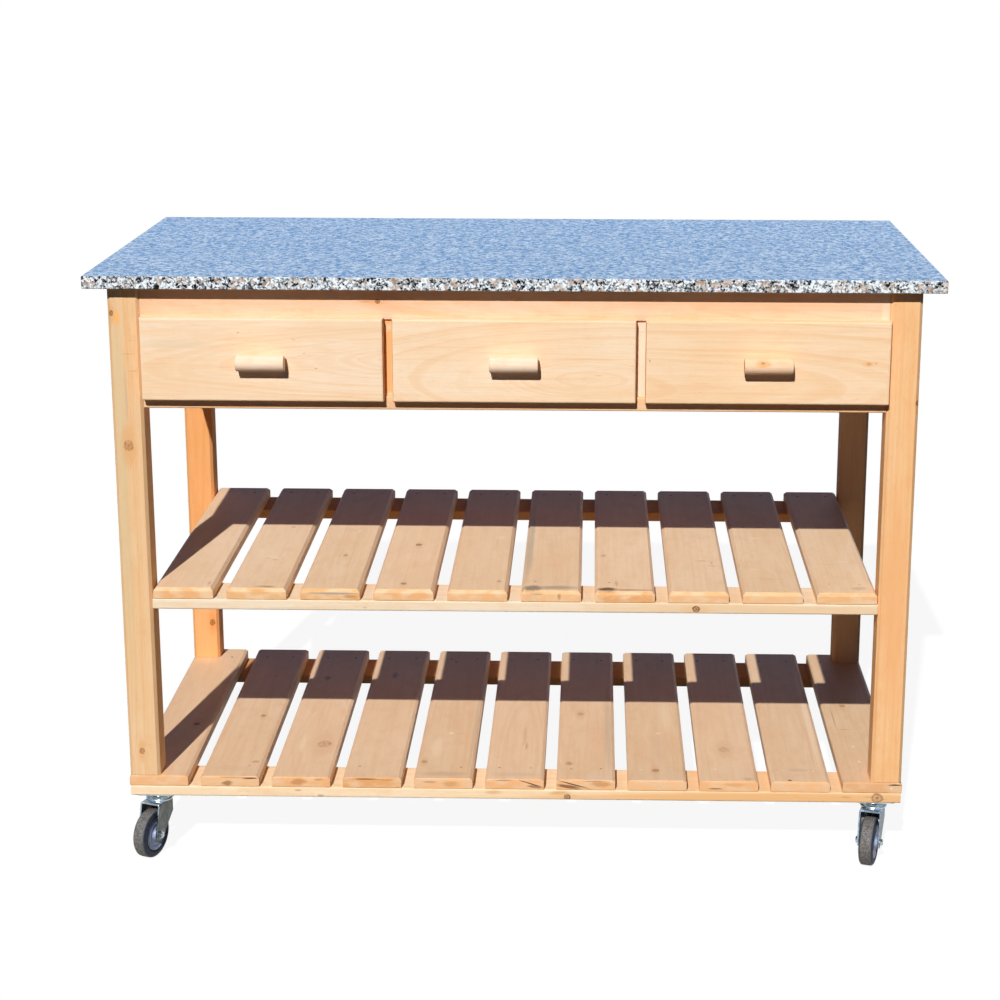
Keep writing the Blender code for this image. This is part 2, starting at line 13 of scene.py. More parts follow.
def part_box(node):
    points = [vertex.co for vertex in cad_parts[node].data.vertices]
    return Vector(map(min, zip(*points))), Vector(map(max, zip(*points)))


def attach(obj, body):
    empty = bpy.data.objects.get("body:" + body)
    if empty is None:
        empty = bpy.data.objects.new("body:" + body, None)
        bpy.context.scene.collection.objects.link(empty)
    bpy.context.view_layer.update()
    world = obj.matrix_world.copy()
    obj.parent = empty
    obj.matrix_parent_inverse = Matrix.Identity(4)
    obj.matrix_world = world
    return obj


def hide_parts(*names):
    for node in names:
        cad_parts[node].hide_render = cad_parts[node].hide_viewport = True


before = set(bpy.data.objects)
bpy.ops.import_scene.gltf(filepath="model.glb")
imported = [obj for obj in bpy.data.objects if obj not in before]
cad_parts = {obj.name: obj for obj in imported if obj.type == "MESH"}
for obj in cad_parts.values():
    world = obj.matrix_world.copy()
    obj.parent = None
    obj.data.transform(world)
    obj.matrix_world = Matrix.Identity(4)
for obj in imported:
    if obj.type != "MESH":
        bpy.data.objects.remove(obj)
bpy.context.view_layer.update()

SCENE = bpy.context.scene

# Millimetres are used in the tables of marks and in turned profiles
MM = 0.001

# Softening of every sawn edge, and of the slab's edges
EASE = 0.0005
STONE_EASE = 0.0002

# Shapes that repeat the part's source
SLAT_CHAMFER = 0.0045
LEG_CHAMFER = 0.0045
STONE_CHAMFER = 0.0015
FRONT_BEVEL = 0.0035
RAIL_ROUNDING = 0.0025
FRAME_EDGE = 0.0012
BOX_WALL = 0.012
BOX_BOTTOM = 0.005
BOX_BOTTOM_RISE = 0.008


# Node helpers

class Graph:
    """Short way to add nodes to a tree and to link them."""

    def __init__(self, tree):
        self.tree = tree

    def node(self, kind, **settings):
        made = self.tree.nodes.new(kind)
        for key, value in settings.items():
            setattr(made, key, value)
        return made

    def feed(self, socket, value):
        if isinstance(value, bpy.types.NodeSocket):
            self.tree.links.new(value, socket)
        elif value is not None:
            socket.default_value = value

    def math(self, operation, a, b=None, c=None, clamp=False):
        made = self.node("ShaderNodeMath", operation=operation, use_clamp=clamp)
        for socket, value in zip(made.inputs, (a, b, c)):
            self.feed(socket, value)
        return made.outputs[0]

    def add(self, a, b):
        return self.math("ADD", a, b)

    def less(self, a, b):
        return self.math("SUBTRACT", a, b)

    def times(self, a, b, clamp=False):
        return self.math("MULTIPLY", a, b, clamp=clamp)

    def line(self, value, slope, rise):
        return self.math("MULTIPLY_ADD", value, slope, rise)

    def vector(self, operation, a, b=None, scale=None):
        made = self.node("ShaderNodeVectorMath", operation=operation)
        self.feed(made.inputs[0], a)
        self.feed(made.inputs[1], b)
        if scale is not None:
            self.feed(made.inputs["Scale"], scale)
        return made.outputs["Value" if operation in ("LENGTH", "DOT_PRODUCT") else 0]

    def split(self, vector):
        made = self.node("ShaderNodeSeparateXYZ")
        self.feed(made.inputs[0], vector)
        return made.outputs[0], made.outputs[1], made.outputs[2]

    def join(self, x, y, z):
        made = self.node("ShaderNodeCombineXYZ")
        for socket, value in zip(made.inputs, (x, y, z)):
            self.feed(socket, value)
        return made.outputs[0]

    def coordinates(self, kind):
        return self.node("ShaderNodeTexCoord").outputs[kind]

    def noise(self, vector, stretch=(1, 1, 1), detail=2, rough=0.5, colour=False):
        made = self.node("ShaderNodeTexNoise", noise_dimensions="3D")
        self.feed(made.inputs["Vector"], self.vector("MULTIPLY", vector, stretch))
        for key, value in (("Scale", 1), ("Detail", detail), ("Roughness", rough)):
            made.inputs[key].default_value = value
        return made.outputs["Color" if colour else "Fac"]

    def smooth(self, value, start, end, low=0, high=1):
        made = self.node("ShaderNodeMapRange", interpolation_type="SMOOTHSTEP")
        for socket, fed in zip(made.inputs, (value, start, end, low, high)):
            self.feed(socket, fed)
        return made.outputs[0]

    def mix(self, share, a, b):
        made = self.node("ShaderNodeMix", data_type="RGBA")
        self.feed(made.inputs[0], share)
        for socket, value in ((made.inputs[6], a), (made.inputs[7], b)):
            self.feed(socket, (*value, 1) if isinstance(value, tuple) and len(value) == 3 else value)
        return made.outputs[2]


def new_group(name, inputs, outputs):
    """Empty node group with its sockets, and a graph in it."""
    tree = bpy.data.node_groups.new(name, "ShaderNodeTree")
    kinds = {"f": "NodeSocketFloat", "v": "NodeSocketVector", "c": "NodeSocketColor"}
    for socket, kind in inputs:
        tree.interface.new_socket(socket, in_out="INPUT", socket_type=kinds[kind])
    for socket, kind in outputs:
        tree.interface.new_socket(socket, in_out="OUTPUT", socket_type=kinds[kind])
    graph = Graph(tree)
    return graph, graph.node("NodeGroupInput").outputs, graph.node("NodeGroupOutput").inputs


def use_group(graph, name, **values):
    """Put a group into a graph and feed its inputs."""
    made = graph.node("ShaderNodeGroup", node_tree=bpy.data.node_groups[name])
    for key, value in values.items():
        if isinstance(value, tuple) and len(value) == 3 and made.inputs[key].type == "RGBA":
            value = (*value, 1)
        graph.feed(made.inputs[key], value)
    return made.outputs


def new_material(name, **sockets):
    """Material with its own graph; plain values go straight onto the shader."""
    made = bpy.data.materials.new(name)
    made.use_nodes = True
    graph = Graph(made.node_tree)
    shader = made.node_tree.nodes["Principled BSDF"]
    for key, value in sockets.items():
        shader.inputs[key.replace("_", " ")].default_value = value
    return made, graph, shader


def dress(graph, shader, colour, roughness, height, distance, strength):
    """Feed a shader, with bump from a height in shares of the distance."""
    graph.feed(shader.inputs["Base Color"], colour)
    graph.feed(shader.inputs["Roughness"], roughness)
    bump = graph.node("ShaderNodeBump")
    bump.inputs["Distance"].default_value = distance
    bump.inputs["Strength"].default_value = strength
    graph.feed(bump.inputs["Height"], height)
    graph.feed(shader.inputs["Normal"], bump.outputs[0])


# Wood

def make_wood_groups():
    """Grain along the first axis of the vector, and round marks such as knots."""
    g, i, o = new_group("wood", (
        ("Grain", "v"), ("Pale", "c"), ("Warm", "c"), ("Dark", "c"), ("Ends", "c"), ("End", "f"),
        ("Spacing", "f"), ("Depth", "f"), ("Across", "f"), ("Tilt", "f"), ("Seed", "f"), ("Figure", "f"),
    ), (("Color", "c"), ("Roughness", "f"), ("Height", "f")))
    seed = i["Seed"]
    place = g.vector("ADD", i["Grain"], g.join(seed, g.times(seed, 1.7), g.times(seed, 0.6)))
    warp = g.vector("SUBTRACT", g.noise(place, (1.7, 8, 8), 2, colour=True), (0.5, 0.5, 0.5))
    ripple = g.vector("SUBTRACT", g.noise(place, (14, 60, 60), 2, colour=True), (0.5, 0.5, 0.5))
    bent = g.vector("ADD", i["Grain"], g.vector("SCALE", warp, scale=0.034))
    bent = g.vector("ADD", bent, g.vector("SCALE", ripple, scale=0.0028))
    along, across, deep = g.split(bent)
    deep = g.add(g.add(deep, i["Depth"]), g.times(along, i["Tilt"]))
    radius = g.vector("LENGTH", g.join(0, g.less(across, i["Across"]), deep))
    count = g.math("DIVIDE", radius, i["Spacing"])
    uneven = g.node("ShaderNodeTexNoise", noise_dimensions="1D")
    g.feed(uneven.inputs["W"], g.line(count, 0.31, seed))
    uneven.inputs["Scale"].default_value = 1
    count = g.add(count, g.times(uneven.outputs[0], 1.9))
    share = g.math("FRACT", count)
    strength = g.node("ShaderNodeTexWhiteNoise", noise_dimensions="1D")
    g.feed(strength.inputs["W"], g.add(g.math("FLOOR", count), seed))
    band = g.times(g.smooth(share, 0, 0.55), g.smooth(share, 0.6, 1, 1, 0))
    late = g.smooth(share, 0.3, 0.94)
    late = g.times(g.times(late, late), g.smooth(share, 0.95, 1, 1, 0))
    weight = g.times(strength.outputs[0], strength.outputs[0])
    late = g.times(late, g.line(weight, 0.85, 0.15))
    band = g.times(band, g.line(weight, 1.2, 0.1), clamp=True)
    fibre = g.noise(place, (18, 640, 640), 3, 0.6)
    lines = g.noise(place, (3, 150, 150), 4, 0.6)
    blotch = g.noise(place, (4, 13, 13), 3, 0.55)
    fleck = g.smooth(g.noise(place, (85, 900, 900), 1), 0.67, 0.76)
    mottle = g.noise(place, (26, 48, 48), 5, 0.7)
    shade = g.smooth(g.add(g.times(blotch, 0.6), g.times(lines, 0.4)), 0.38, 0.62)
    colour = g.mix(shade, i["Pale"], i["Warm"])
    colour = g.mix(g.times(band, i["Figure"], clamp=True), colour, g.mix(0.55, i["Warm"], i["Dark"]))
    colour = g.mix(g.times(late, g.times(i["Figure"], 0.6), clamp=True), colour, i["Dark"])
    mottle = g.times(g.smooth(mottle, 0.44, 0.7), g.less(0.72, i["Figure"]), clamp=True)
    colour = g.mix(mottle, colour, i["Dark"])
    colour = g.mix(g.smooth(lines, 0.54, 0.76, 0, 0.28), colour, i["Dark"])
    colour = g.mix(g.smooth(fibre, 0.3, 0.58, 0.26, 0), colour, i["Dark"])
    colour = g.mix(g.times(fleck, 0.42), colour, i["Dark"])
    rough_end = g.noise(place, (150, 500, 500), 3, 0.6)
    end_cloud = g.smooth(g.noise(place, (60, 42, 90), 2), 0.38, 0.68)
    ends = g.mix(g.times(end_cloud, 0.85), i["Ends"], i["Warm"])
    ends = g.mix(g.smooth(rough_end, 0.4, 0.75, 0, 0.5), ends, i["Dark"])
    ends = g.mix(g.times(late, 0.3), ends, i["Dark"])
    g.feed(o["Color"], g.mix(i["End"], colour, ends))
    rough = g.line(fibre, 0.2, 0.47)
    g.feed(o["Roughness"], g.line(i["End"], 0.18, rough))
    height = g.add(g.times(fibre, 0.55), g.times(late, -0.25))
    height = g.less(height, g.times(fleck, 0.5))
    g.feed(o["Height"], g.add(height, g.times(rough_end, g.times(i["End"], 1.2))))

    g, i, o = new_group("mark", (("Grain", "v"), ("Place", "v"), ("Half", "v"), ("Rough", "f")),
                        (("Distance", "f"), ("Long", "f"), ("Gap", "f"), ("Grain", "v")))
    away = g.vector("SUBTRACT", i["Grain"], i["Place"])
    local = g.vector("DIVIDE", away, i["Half"])
    along, across, deep = g.split(local)
    shifted = g.vector("ADD", local, g.vector("SCALE", i["Place"], scale=97))
    ragged = g.less(g.noise(shifted, (0.9, 1.1, 0.3), 3, 0.6), 0.5)
    distance = g.vector("LENGTH", g.join(along, across, deep))
    g.feed(o["Distance"], g.line(ragged, i["Rough"], distance))
    longer = g.vector("LENGTH", g.join(g.times(along, 0.3), g.times(across, 0.8), deep))
    g.feed(o["Long"], g.line(ragged, 0.7, longer))
    g.feed(o["Gap"], g.noise(shifted, (1.7, 1.7, 0.3), 2))
    push = g.math("EXPONENT", g.times(g.times(distance, distance), -0.16))
    near = g.split(away)[1]
    moved = g.join(0, g.times(g.times(near, push), -0.8), 0)
    g.feed(o["Grain"], g.vector("ADD", i["Grain"], moved))


def scaled(colour, shares):
    """Colour with each part scaled."""
    return tuple(part * share for part, share in zip(colour, shares))


def wood(name, pale=None, grain="x", warm=None, dark=None, ends=None, seed=0, figure=0.55, spacing=0.0042,
         depth=0.05, across=0, tilt=0.03, knots=(), marks=(), spots=(), finish=0.02, underside_shade=0,
         front=(0, 1)):
    """Timber whose fibres run along the grain axis of the piece, by default in the palette's tone.

    Knots are (along, across, radius, darkness), marks (along, across, half length, half width, colour, share)
    and spots, on the sawn ends of a slat, (x, z, half width, half height, colour, share, slope), all with
    their lengths in millimetres. Underside shade is the share by which faces turned downwards are painted
    darker, as painted shade; front is the depth at which knots and marks lie and how far they reach from
    there, in metres.
    """
    pale = pale or PALETTE[name]
    warm = warm or scaled(pale, (0.985, 0.91, 0.81))
    dark = dark or scaled(pale, (0.91, 0.67, 0.46))
    ends = ends or scaled(pale, (0.94, 0.76, 0.56))
    made, g, shader = new_material(f"{name}_wood", Specular_IOR_Level=finish)
    x, y, z = g.split(g.coordinates("Object"))
    nx, ny, nz = g.split(g.coordinates("Normal"))
    order = {"x": (x, z, y), "y": (y, x, z), "z": (z, x, y)}[grain]
    end = g.smooth(g.math("ABSOLUTE", {"x": nx, "y": ny, "z": nz}[grain]), 0.5, 0.66)
    start = vector = g.join(*order)

    def mark(grain, place, half, ragged):
        return use_group(g, "mark", Grain=grain, Place=(place[0] * MM, place[1] * MM, front[0]),
                         Half=(half[0] * MM, half[1] * MM, front[1]), Rough=ragged)

    rings = []
    for along, across_at, radius, darkness in knots:
        out = mark(vector, (along, across_at), (radius * 1.2, radius), 0.75)
        vector = out["Grain"]
        rings.append((out, darkness))
    out = use_group(g, "wood", Grain=vector, Pale=pale, Warm=warm, Dark=dark, Ends=ends, End=end,
                    Spacing=spacing, Depth=depth, Across=across, Tilt=tilt, Seed=seed, Figure=figure)
    colour, height, roughness = out["Color"], out["Height"], out["Roughness"]
    for along, across_at, half_long, half_wide, tint, share in marks:
        out = mark(start, (along, across_at), (half_long, half_wide), 1.1)
        colour = g.mix(g.smooth(out["Distance"], 0.35, 1.2, share, 0), colour, tint)
    brown = scaled(dark, (0.66, 0.5, 0.42))
    for knot, darkness in rings:
        distance = knot["Distance"]
        colour = g.mix(g.smooth(knot["Long"], 0.6, 1.8, 0.65, 0), colour, dark)
        inside = g.smooth(distance, 0.9, 1.1, 0.85, 0)
        swirl = g.math("SINE", g.times(distance, 13))
        heart = g.mix(g.smooth(swirl, -1, 1, 0.1, 0.75), dark, brown)
        heart = g.mix(g.smooth(knot["Gap"], 0.35, 0.65, 0, 1 - darkness), heart, warm)
        colour = g.mix(inside, colour, g.mix(darkness * 0.6, heart, (0.24, 0.105, 0.04)))
        rim = g.times(g.smooth(distance, 0.62, 0.9), g.smooth(distance, 0.98, 1.3, 1, 0))
        rim = g.times(rim, g.smooth(knot["Gap"], 0.36, 0.62, min(1.25 * darkness, 1), darkness * 0.5))
        colour = g.mix(rim, colour, (0.15, 0.06, 0.022))
        core = g.smooth(distance, 0.1, 0.5, darkness * 0.9, 0)
        colour = g.mix(core, colour, (0.16, 0.065, 0.025))
        height = g.less(height, g.times(rim, 0.9))
    for at_x, at_z, half_x, half_z, tint, share, *slope in spots:
        slope = slope[0] if slope else 0
        end_grain = g.join(x, g.line(x, -slope, z), 0)
        out = mark(end_grain, (at_x, at_z - slope * at_x), (half_x, half_z), 1.1)
        facing = g.smooth(ny, -0.8, -0.6, share, 0)
        colour = g.mix(g.times(g.smooth(out["Distance"], 0.45, 1.15, 1, 0), facing), colour, tint)
    # Painted shade: faces turned downwards are darkened by the share given
    if underside_shade:
        colour = g.mix(g.smooth(nz, -0.9, -0.6, underside_shade, 0), colour, (0.2, 0.13, 0.09))
    dress(g, shader, colour, roughness, height, 0.00035, 0.8)
    return made


# Other materials

def granite():
    """Polished granite: crystals on the edges; on the polished top a fine speckle painted bluish, as a
    painted reflection of the sky.
    """
    made, g, shader = new_material("granite", Specular_IOR_Level=0.02)
    place = g.coordinates("Object")
    up = g.split(g.coordinates("Normal"))[2]
    wander = g.vector("SUBTRACT", g.noise(place, (420, 420, 420), 2, colour=True), (0.5, 0.5, 0.5))
    bent = g.vector("ADD", place, g.vector("SCALE", wander, scale=0.0026))

    def crystals(scale):
        cell = g.node("ShaderNodeTexVoronoi", voronoi_dimensions="3D", feature="F1")
        g.feed(cell.inputs["Vector"], bent)
        cell.inputs["Scale"].default_value = scale
        return g.split(cell.outputs["Color"])

    small = crystals(400)
    large = crystals(165)
    kind = g.add(g.times(small[0], 0.6), g.times(large[0], 0.4))
    ramp = g.node("ShaderNodeValToRGB")
    g.feed(ramp.inputs[0], kind)
    stops = ((0, (0.004, 0.005, 0.006)), (0.28, (0.02, 0.022, 0.026)), (0.34, (0.15, 0.155, 0.165)),
             (0.45, (0.34, 0.36, 0.38)), (0.56, (0.66, 0.71, 0.75)), (0.75, (0.92, 0.98, 1)))
    elements = ramp.color_ramp.elements
    while len(elements) < len(stops):
        elements.new(0.5)
    for element, (position, colour) in zip(elements, stops):
        element.position = position
        element.color = (*colour, 1)
    tan = g.smooth(large[1], 0.74, 0.84, 0, 0.6)
    raw = g.mix(tan, ramp.outputs[0], (0.6, 0.42, 0.3))
    cloud = g.noise(place, (9, 14, 14), 3, 0.55)
    grains = g.noise(place, (150, 115, 115), 4, 0.8)
    fine = g.noise(place, (420, 420, 420), 2)
    shade = g.smooth(g.line(large[2], 0.25, g.times(grains, 0.75)), 0.38, 0.62)
    # Painted reflection: the top's bluish colour copies the sky seen in the polish, laid over the stone's
    # real speckle
    top_with_painted_sky = g.mix(shade, (0.185, 0.365, 0.63), (0.76, 0.89, 0.98))
    top_with_painted_sky = g.mix(g.smooth(cloud, 0.35, 0.7, 0, 0.2), top_with_painted_sky, (0.36, 0.54, 0.74))
    top_with_painted_sky = g.mix(g.smooth(kind, 0.32, 0.2, 0, 0.75), top_with_painted_sky, (0.065, 0.18, 0.37))
    top_with_painted_sky = g.mix(g.smooth(g.times(small[1], large[0]), 0.6, 0.8, 0, 0.7), top_with_painted_sky, (0.95, 0.98, 1))
    colour = g.mix(g.smooth(up, 0.93, 0.99), raw, top_with_painted_sky)
    dress(g, shader, colour, g.smooth(kind, 0.1, 0.9, 0.22, 0.13), fine, 0.00008, 0.4)
    return made


def zinc(name, painted_side_shade):
    """Zinc-plated steel whose faces turned along X are painted a dark olive grey, as painted shade and
    reflection, by the share given.
    """
    made, g, shader = new_material(name, Metallic=1)
    place = g.coordinates("Object")
    # Painted shade: faces turned along X take a dark olive grey in place of the dark surroundings they would
    # reflect
    side = g.smooth(g.math("ABSOLUTE", g.split(g.coordinates("Normal"))[0]), 0.8, 0.97, 0, painted_side_shade)
    cloud = g.noise(place, (90, 90, 60), 3, 0.6)
    draw = g.noise(place, (60, 60, 1400), 2)
    spot = g.smooth(g.noise(place, (700, 700, 700), 1), 0.62, 0.74)
    bright = g.mix(g.smooth(cloud, 0.35, 0.68), (0.34, 0.38, 0.37), (0.78, 0.82, 0.8))
    painted_dark_side = g.mix(g.smooth(cloud, 0.35, 0.68), (0.085, 0.095, 0.085), (0.19, 0.2, 0.18))
    colour = g.mix(side, bright, painted_dark_side)
    colour = g.mix(g.times(spot, 0.35), colour, (0.1, 0.1, 0.095))
    rough = g.line(side, 0.18, g.line(cloud, 0.24, g.times(draw, 0.16)))
    dress(g, shader, colour, rough, g.add(draw, cloud), 0.00006, 0.5)
    return made


def rubber():
    """Tyre rubber: dusty and scuffed on the tread, with a painted bluish sheen on its shoulders; dark on the
    side walls.
    """
    made, g, shader = new_material("tyre", Specular_IOR_Level=0.35)
    place = g.coordinates("Object")
    x, y, z = g.split(place)
    radius = g.vector("LENGTH", g.join(0, y, z))
    dust = g.noise(place, (130, 130, 130), 4, 0.65)
    grit = g.noise(place, (1500, 1500, 1500), 2)
    tread = g.smooth(g.less(radius, g.times(g.math("ABSOLUTE", x), 0.3)), 0.0305, 0.0335)
    wall = g.mix(g.smooth(dust, 0.4, 0.72), (0.012, 0.014, 0.024), (0.045, 0.052, 0.072))
    speck = g.noise(place, (420, 420, 420), 3, 0.7)
    tread_wear_and_sheen = g.mix(g.smooth(speck, 0.36, 0.64), (0.075, 0.07, 0.068), (0.27, 0.24, 0.205))
    tread_wear_and_sheen = g.mix(g.smooth(grit, 0.42, 0.66, 0, 0.5), tread_wear_and_sheen, (0.055, 0.055, 0.06))
    # Painted highlight: a bluish sheen on the tread's shoulders
    tread_wear_and_sheen = g.mix(g.smooth(g.math("ABSOLUTE", x), 0.0055, 0.0095, 0, 0.65), tread_wear_and_sheen, (0.12, 0.15, 0.18))
    height = g.add(grit, dust)
    dress(g, shader, g.mix(tread, wall, tread_wear_and_sheen), g.line(dust, 0.25, 0.5), height, 0.0002, 0.6)
    return made


def core_plastic():
    """Blue-grey plastic of the wheel core."""
    made, g, shader = new_material("wheel_core", Specular_IOR_Level=0.45)
    place = g.coordinates("Object")
    x, y, z = g.split(place)
    radius = g.vector("LENGTH", g.join(0, y, z))
    dust = g.noise(place, (110, 110, 110), 3, 0.6)
    scuff = g.noise(place, (1200, 260, 260), 2)
    colour = g.mix(g.smooth(dust, 0.36, 0.66), (0.2, 0.25, 0.38), (0.34, 0.4, 0.56))
    colour = g.mix(g.smooth(radius, 0.0234, 0.0252, 0, 0.55), colour, (0.1, 0.11, 0.17))
    colour = g.mix(g.smooth(scuff, 0.6, 0.78, 0, 0.5), colour, (0.46, 0.45, 0.5))
    dress(g, shader, colour, g.line(dust, 0.22, 0.3), scuff, 0.00008, 0.5)
    return made


def nail_steel():
    """Dull nail heads, some of them rusting; those towards +Y, on the rear rows, are painted near black as
    painted shade.
    """
    made, g, shader = new_material("nail_steel", Metallic=0.15)
    place = g.coordinates("Object")
    patch = g.noise(place, (23, 31, 31), 1)
    fine = g.noise(place, (1900, 1900, 1900), 2)
    colour = g.mix(g.smooth(patch, 0.38, 0.5), (0.4, 0.28, 0.18), (0.96, 0.82, 0.62))
    # Painted shade: nail heads towards +Y, in the shade beneath the worktop, go near black
    colour = g.mix(g.smooth(g.split(place)[1], 0, 0.1), colour, (0.055, 0.05, 0.055))
    colour = g.mix(g.smooth(fine, 0.45, 0.7, 0, 0.5), colour, (0.24, 0.15, 0.1))
    dress(g, shader, colour, g.line(fine, 0.4, 0.3), fine, 0.0001, 0.6)
    return made


# Geometry

def link(name, data):
    """New object in the scene."""
    obj = bpy.data.objects.new(name, data)
    SCENE.collection.objects.link(obj)
    return obj


def to_mesh(name, bm):
    """Mesh from a bmesh, which is freed."""
    mesh = bpy.data.meshes.new(name)
    bm.to_mesh(mesh)
    bm.free()
    return mesh


def add_piece(name, bm, material, body, place=Matrix.Identity(4), nodes=(), sharp=None):
    """Turn a bmesh into a piece that rides on its body, with smooth normals, sharp past an angle if one is
    given.
    """
    bmesh.ops.recalc_face_normals(bm, faces=bm.faces)
    mesh = to_mesh(name, bm)
    mesh.materials.append(material)
    mesh.shade_smooth()
    if sharp is not None:
        mesh.set_sharp_from_angle(angle=radians(sharp))
    obj = link(name, mesh)
    obj.matrix_world = place
    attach(obj, body)
    if nodes:
        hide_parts(*nodes)
    return obj


def even_normals(obj):
    """Shade flat faces flat and let the eased edges take the turn."""
    shade = obj.modifiers.new("shade", "WEIGHTED_NORMAL")
    shade.keep_sharp = True


def add_bevel(obj, name, width, segments, angle=None):
    """Bevel of the edges sharper than an angle, or else by the edges' weights."""
    bevel = obj.modifiers.new(name, "BEVEL")
    bevel.limit_method = "ANGLE" if angle else "WEIGHT"
    if angle:
        bevel.angle_limit = radians(angle)
    bevel.width = width
    bevel.segments = segments


def soften(obj, width=EASE):
    """Ease the edges that are still sharp."""
    add_bevel(obj, "ease", width, 2, 24)
    even_normals(obj)


def box_mesh(low, high):
    """Box about its own middle, and where that middle is."""
    bm = bmesh.new()
    bmesh.ops.create_cube(bm, size=1, matrix=Matrix.Diagonal((*(high - low), 1)))
    return bm, (low + high) / 2


def board(name, node, material, chamfer=None, chosen=None, segments=1, ease=EASE, body="frame"):
    """Board in the place of a node; chosen gives each edge's share of the chamfer."""
    low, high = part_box(node)
    bm, centre = box_mesh(low, high)
    if chamfer:
        layer = bm.edges.layers.float.new("bevel_weight_edge")
        for edge in bm.edges:
            start, end = (vert.co for vert in edge.verts)
            edge[layer] = float(chosen(start, end))
    obj = add_piece(name, bm, material, body, Matrix.Translation(centre), (node,))
    if chamfer:
        add_bevel(obj, "chamfer", chamfer, segments)
    soften(obj, ease)
    return obj


def runs(axis):
    """Function that says whether an edge runs along an axis."""
    return lambda start, end: abs(start[axis] - end[axis]) > 0.001


def mm(*points, up=0):
    """Points of (radius, height) or (y, z) from millimetres to metres, raised by up."""
    return [(first * MM, second * MM + up) for first, second in points]


def lathe(bm, profile, steps, matrix=Matrix.Identity(4)):
    """Closed profile of (radius, height) points turned about Z and added to a bmesh."""
    rings = []
    for radius, height in profile:
        turns = [2 * pi * step / steps for step in range(steps if radius > 1e-6 else 1)]
        ring = [matrix @ Vector((radius * cos(turn), radius * sin(turn), height)) for turn in turns]
        rings.append([bm.verts.new(place) for place in ring])
    for first, second in zip(rings, rings[1:]):
        for step in range(steps):
            after = (step + 1) % steps
            corners = [first[step % len(first)], first[after % len(first)],
                       second[after % len(second)], second[step % len(second)]]
            unique = list(dict.fromkeys(corners))
            if len(unique) > 2:
                bm.faces.new(unique)


# The boards

make_wood_groups()

PALETTE = {
    "face_left": (0.99, 0.785, 0.575),
    "face_middle": (0.995, 0.79, 0.575),
    "face_right": (0.99, 0.755, 0.52),
    "top_rail": (0.97, 0.65, 0.45),
    "lower_rail": (0.9, 0.6, 0.36),
    "leg_front_left": (0.895, 0.62, 0.365),
    "leg_front_right": (0.96, 0.6, 0.315),
    "leg_rear_left": (0.89, 0.44, 0.175),
    # Painted light: the rear right leg stands in shade and is given a paler tone to lift it
    "leg_rear_right": (1, 0.7, 0.42),
    "stile_left": (0.96, 0.53, 0.25),
    "stile_right": (0.97, 0.77, 0.61),
    "middle_rail": (0.935, 0.79, 0.6),
    "bottom_rail": (0.99, 0.79, 0.55),
    "middle_slat": (0.965, 0.71, 0.465),
    "bottom_slat": (0.915, 0.645, 0.41),
    "handle": (1, 0.79, 0.61),
}
INSIDE = (0.82, 0.6, 0.38)
BROWN = (0.4, 0.19, 0.075)
UMBER = (0.1, 0.045, 0.02)
GREY = (0.5, 0.42, 0.31)
PALE = (0.97, 0.74, 0.5)

# Depth of the knots and marks on a leg's front face, and their reach from it
LEG_FRONT = (-0.0225, 0.006)


def top_edges(share_ends=1):
    """Both long edges and both end edges of a slat's upper face."""
    def chosen(start, end):
        if start.z < 0 or end.z < 0:
            return 0
        return share_ends if abs(start.x - end.x) > 0.001 else 1
    return chosen


def front_edges(start, end):
    """Edges round the face towards -Y."""
    return start.y < 0 and end.y < 0


